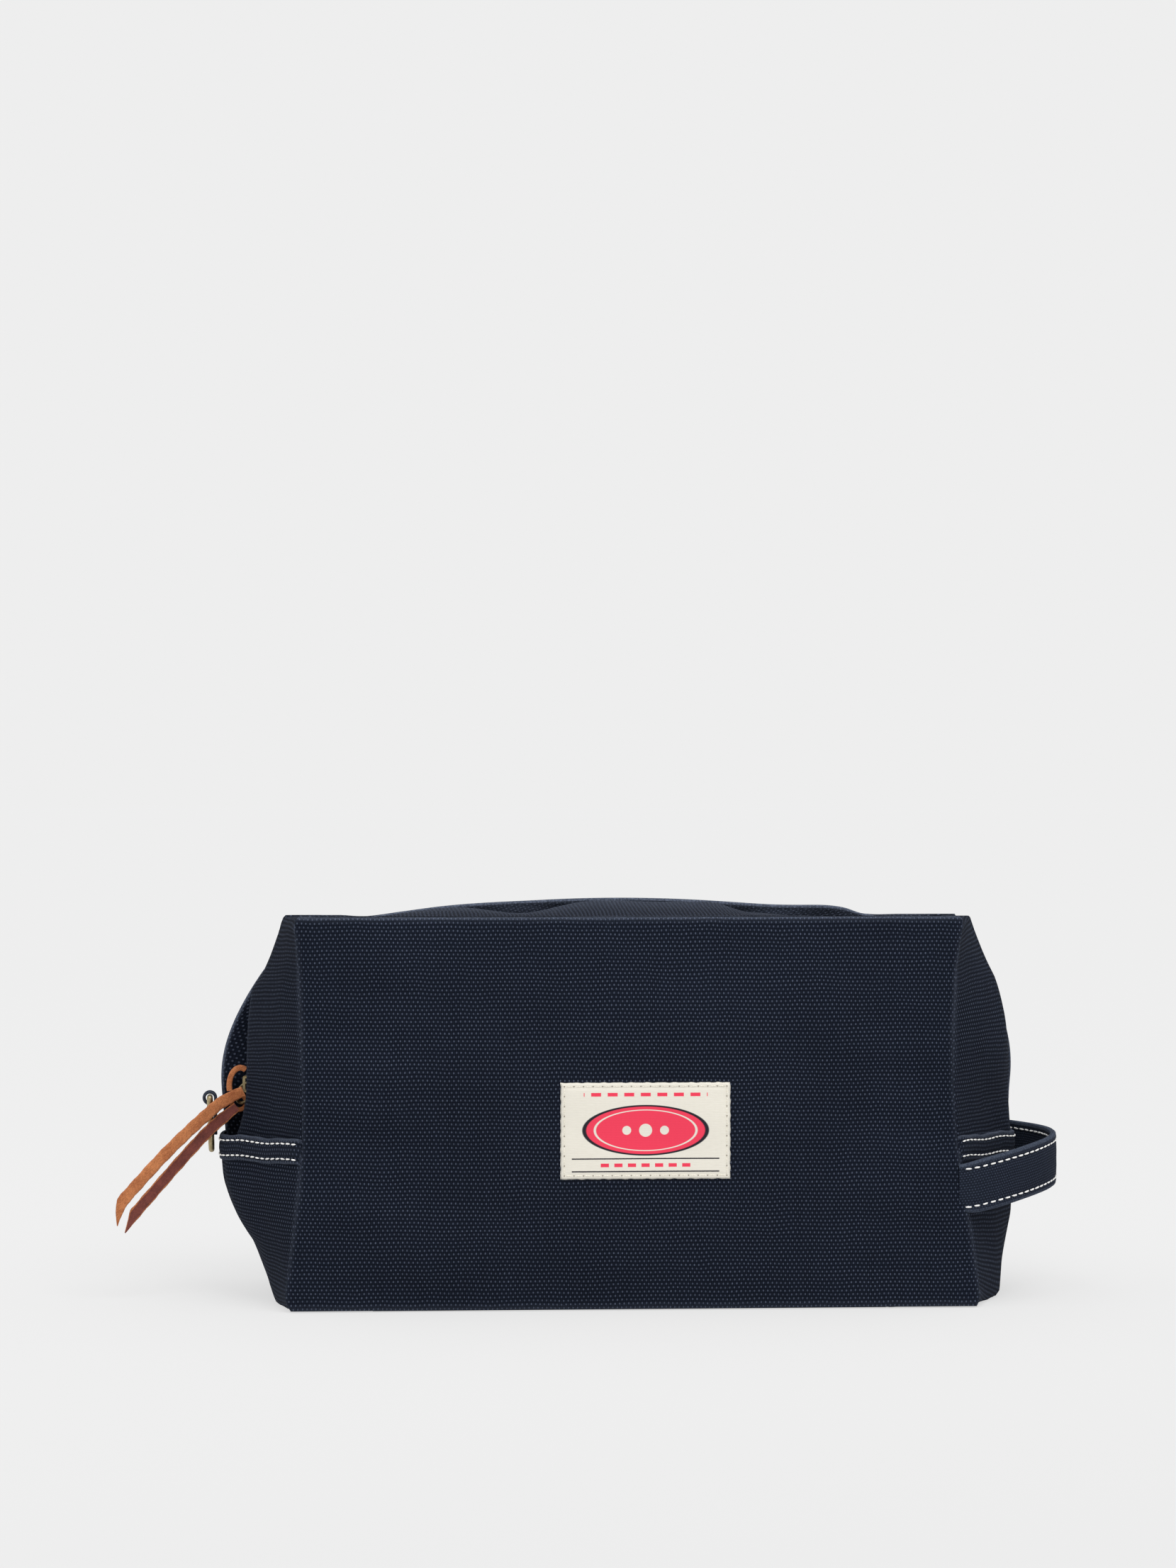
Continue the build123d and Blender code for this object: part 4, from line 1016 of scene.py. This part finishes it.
# ---- zip: tapes and teeth ----
def zip_half(left, back):
    """Tape and meshed teeth from a band to the middle of the top, on one side of the zip."""
    fx, fy, side, face = quarter(left, back)
    total = zip_length(CHAIN_TIP, CHAIN_R)
    f = np.linspace(0, 1, 120) * total
    x, z, nx, nz = zip_line(f, CHAIN_TIP, CHAIN_R)
    ys = np.array([-0.9, -2.2, -3.6, -5.0, -8.0, -11.0, -14.0])
    hump = np.array([0.0, 0.35, 0.35, 0.0, 0.05, 0.0, -0.2])
    X = x[:, None] + nx[:, None] * hump[None, :]
    Z = z[:, None] + nz[:, None] * hump[None, :] - chain_sag(x)[:, None]
    Y = ys[None, :] * np.ones((len(f), 1))
    along = f[:, None] + 0 * Y
    tape = grid(f"tape_{side}_{face}", X * fx, Y * fy, Z, Y, along, TAPE_MAT, flip=left != back)
    thicken(tape, 0.0007, 0.0)
    bend_role(tape, "zip_tape", left, face, f"zip_tape_{side}_{face}", f"zip_tape_flap_{face}")
    pitch = 2.6
    # the two rows interleave over the middle: the back row has a tooth at the centre, on the left half
    last = total - ((0.0 if left else pitch) if back else pitch / 2)
    s = last - pitch * np.arange(int((last - 8.0) / pitch), -1, -1)
    x, z, nx, nz = zip_line(s, CHAIN_TIP, CHAIN_R)
    z = z - chain_sag(x)
    verts, faces = [], []
    # a tooth's sections: place across the zip, half length along it, half height
    prof = [(-3.4, 0.62, 1.5), (-2.9, 0.66, 1.55), (-0.9, 0.6, 1.35),
            (0.2, 0.62, 1.2), (0.75, 0.45, 0.9), (0.95, 0.2, 0.5)]
    for px, pz, ax, az in zip(x, z, nx, nz):
        base = len(verts)
        for yy, hl, hh in prof:
            for a in np.linspace(0, 2 * math.pi, 13)[:-1]:
                ca, sa = math.cos(a), math.sin(a)
                lt = hl * np.sign(ca) * abs(ca) ** 0.5
                hn = hh * np.sign(sa) * abs(sa) ** 0.5
                verts.append(((px + az * lt + ax * hn) * fx, yy * fy, pz - ax * lt + az * hn))
        faces += tube_faces(len(prof), 12, base, first_step=1)
    teeth = new_mesh(f"teeth_{side}_{face}", verts, faces, [TEETH_MAT])
    bend_role(teeth, "zip_metal", left, face, f"zip_teeth_{side}_{face}", f"zip_teeth_flap_{face}")


for left in (True, False):
    for back in (False, True):
        zip_half(left, back)

# ---- grab handle ----
STRAP_T, REACH, START_X = 2.4, 154.0, 115.8
sag, half_y = REACH - STRAP_T / 2 - START_X, SEAM_Y - 0.6
strap_r = (half_y**2 + sag**2) / (2 * sag)
strap_cx = REACH - STRAP_T / 2 - strap_r
strap_turn = math.asin(half_y / strap_r)
angles = np.linspace(-strap_turn, strap_turn, 90)
cen = np.stack([strap_cx + strap_r * np.cos(angles), strap_r * np.sin(angles)], -1)
lead = np.array([(111.8, -SEAM_Y - 0.35), (113.6, -SEAM_Y + 0.1)])
cen = np.concatenate([lead, cen, lead[::-1] * np.array([1, -1])])
tg = unit(np.gradient(cen, axis=0))
rad = np.stack([tg[:, 1], -tg[:, 0]], -1)
along = run_along(cen)
frac = (cen[:, 1] + half_y) / (2 * half_y)
reach = np.clip((cen[:, 0] - 114.0) / 39.0, 0, 1)
mid_z = np.where(frac < 0.5, 40.0 + 7.6 * reach, 50.2 - 2.6 * reach)
mid_z = np.convolve(np.pad(mid_z, 4, mode="edge"), np.ones(9) / 9, mode="valid")
# the cross section, as height and distance out, dips where it is stitched
outer = [(-9, 0.4), (-8.6, 0.95), (-7.4, 1.15), (-6.5, 0.8), (-5.4, 1.15), (-2.5, 1.25), (0, 1.2)]
inner = [(9, -0.4), (8.6, -0.95), (7.4, -1.15), (6.5, -0.85), (5.4, -1.15), (0, -1.25)]
ring = [(-9, -0.4)] + outer + [(-h, o) for h, o in outer[-2::-1]]
ring += inner + [(-h, o) for h, o in inner[-2:0:-1]]
verts, uv, wear_and_highlight = [], [], []
for i in range(len(cen)):
    nip = 1 - 0.10 * math.exp(-((along[i]) / 5) ** 2) - 0.10 * math.exp(-((along[-1] - along[i]) / 5) ** 2)
    wave = 0.25 * math.sin(along[i] * 0.16)
    for h, o in ring:
        verts.append((*(cen[i] + rad[i] * (o + wave)), mid_z[i] + h * nip))
        uv.append((along[i], h + (30 if o < 0 else 0)))
        wear_and_highlight.append(0.6 if abs(h) > 8.5 else 0.05)
faces = grid_faces(len(cen), len(ring), 0, wrap=True)
fm = [0] * len(faces)
for o, sgn in ((0.95, 1), (-1.0, -1)):
    for h in (-6.5, 6.5):
        path = np.column_stack([cen + rad * o, mid_z + h])[1:-1]
        sv, sf = stitch_data(path, 3.3, 2.5, 0.6, lambda c, sgn=sgn: np.stack(
            [(c[:, 0] - strap_cx) * sgn, c[:, 1] * sgn, c[:, 0] * 0], -1), seed=8)
        base = len(verts)
        verts += [tuple(v) for v in sv]
        uv += [(0, 0)] * len(sv)
        wear_and_highlight += [0] * len(sv)
        faces += [tuple(i + base for i in face) for face in sf]
        fm += [1] * len(sf)
strap = new_mesh("grab_strap", verts, faces, [STRAP_MAT, THREAD_MAT], uv, wear_and_highlight, fm)
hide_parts("handle_strap", "handle_end_front", "handle_end_back")
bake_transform(strap)

# ---- D-ring tab ----
tab_lo, tab_hi = box_mm("d_ring_tab")
bar_x, bar_z, eye_r, tab_t = -142.9, 68.7, 1.4, 1.1
prof = [(bar_x + eye_r + 0.05, tab_lo[2])] + [(bar_x + eye_r, z) for z in (60.0, 64.5, bar_z)]
for a in np.linspace(0.25, math.pi * 1.42, 14):
    prof.append((bar_x + eye_r * math.cos(a), bar_z + eye_r * math.sin(a)))
tt = unit(np.gradient(np.array(prof), axis=0))
out = np.stack([tt[:, 1], -tt[:, 0]], -1)
half, tab_y = (tab_hi[1] - tab_lo[1]) / 2, (tab_hi[1] + tab_lo[1]) / 2
cross = [(-1, 0.1), (-1, 0.85), (-0.9, 1.0), (-0.5, 1.05), (0, 1.08),
         (0.5, 1.05), (0.9, 1.0), (1, 0.85), (1, 0.1), (0, 0.02)]
verts, uv, wear_and_highlight = [], [], []
for i, (p, o) in enumerate(zip(prof, out)):
    for c, h in cross:
        verts.append((p[0] + o[0] * h * tab_t, tab_y + c * half, p[1] + o[1] * h * tab_t))
        uv.append((c * half, i * 1.2))
        wear_and_highlight.append(0.5 if abs(c) > 0.85 else 0.1)
tab = new_mesh("ring_tab", verts, tube_faces(len(prof), len(cross)), [STRAP_MAT], uv, wear_and_highlight)
soften(tab)
role(tab, "webbing", "bag", "d_ring_tab")
rows = []
for y0 in (tab_y - 2.0, tab_y + 2.0):
    path = [(bar_x + eye_r - 0.1, y0, z) for z in (57.5, 65.5)]
    rows.append(dict(path=path, pitch=2.6, length=2.1, width=0.6, seed=4, up=[-1, 0, 0], lift=0.1))
stitches("tab_stitches", rows)

# ---- metal finishes for the CAD pieces that stay ----
FINISH = {
    "d_ring": BRASS_MAT, "pull_ring": BRASS_MAT, "slider_body": BRASS_MAT, "slider_bridge": BRASS_MAT,
    "zip_stop_left_front": TEETH_MAT, "zip_stop_left_back": TEETH_MAT, "zip_stop_right": TEETH_MAT,
}
for name, mat in FINISH.items():
    data = nodes[name].data
    data.materials.clear()
    data.materials.append(mat)
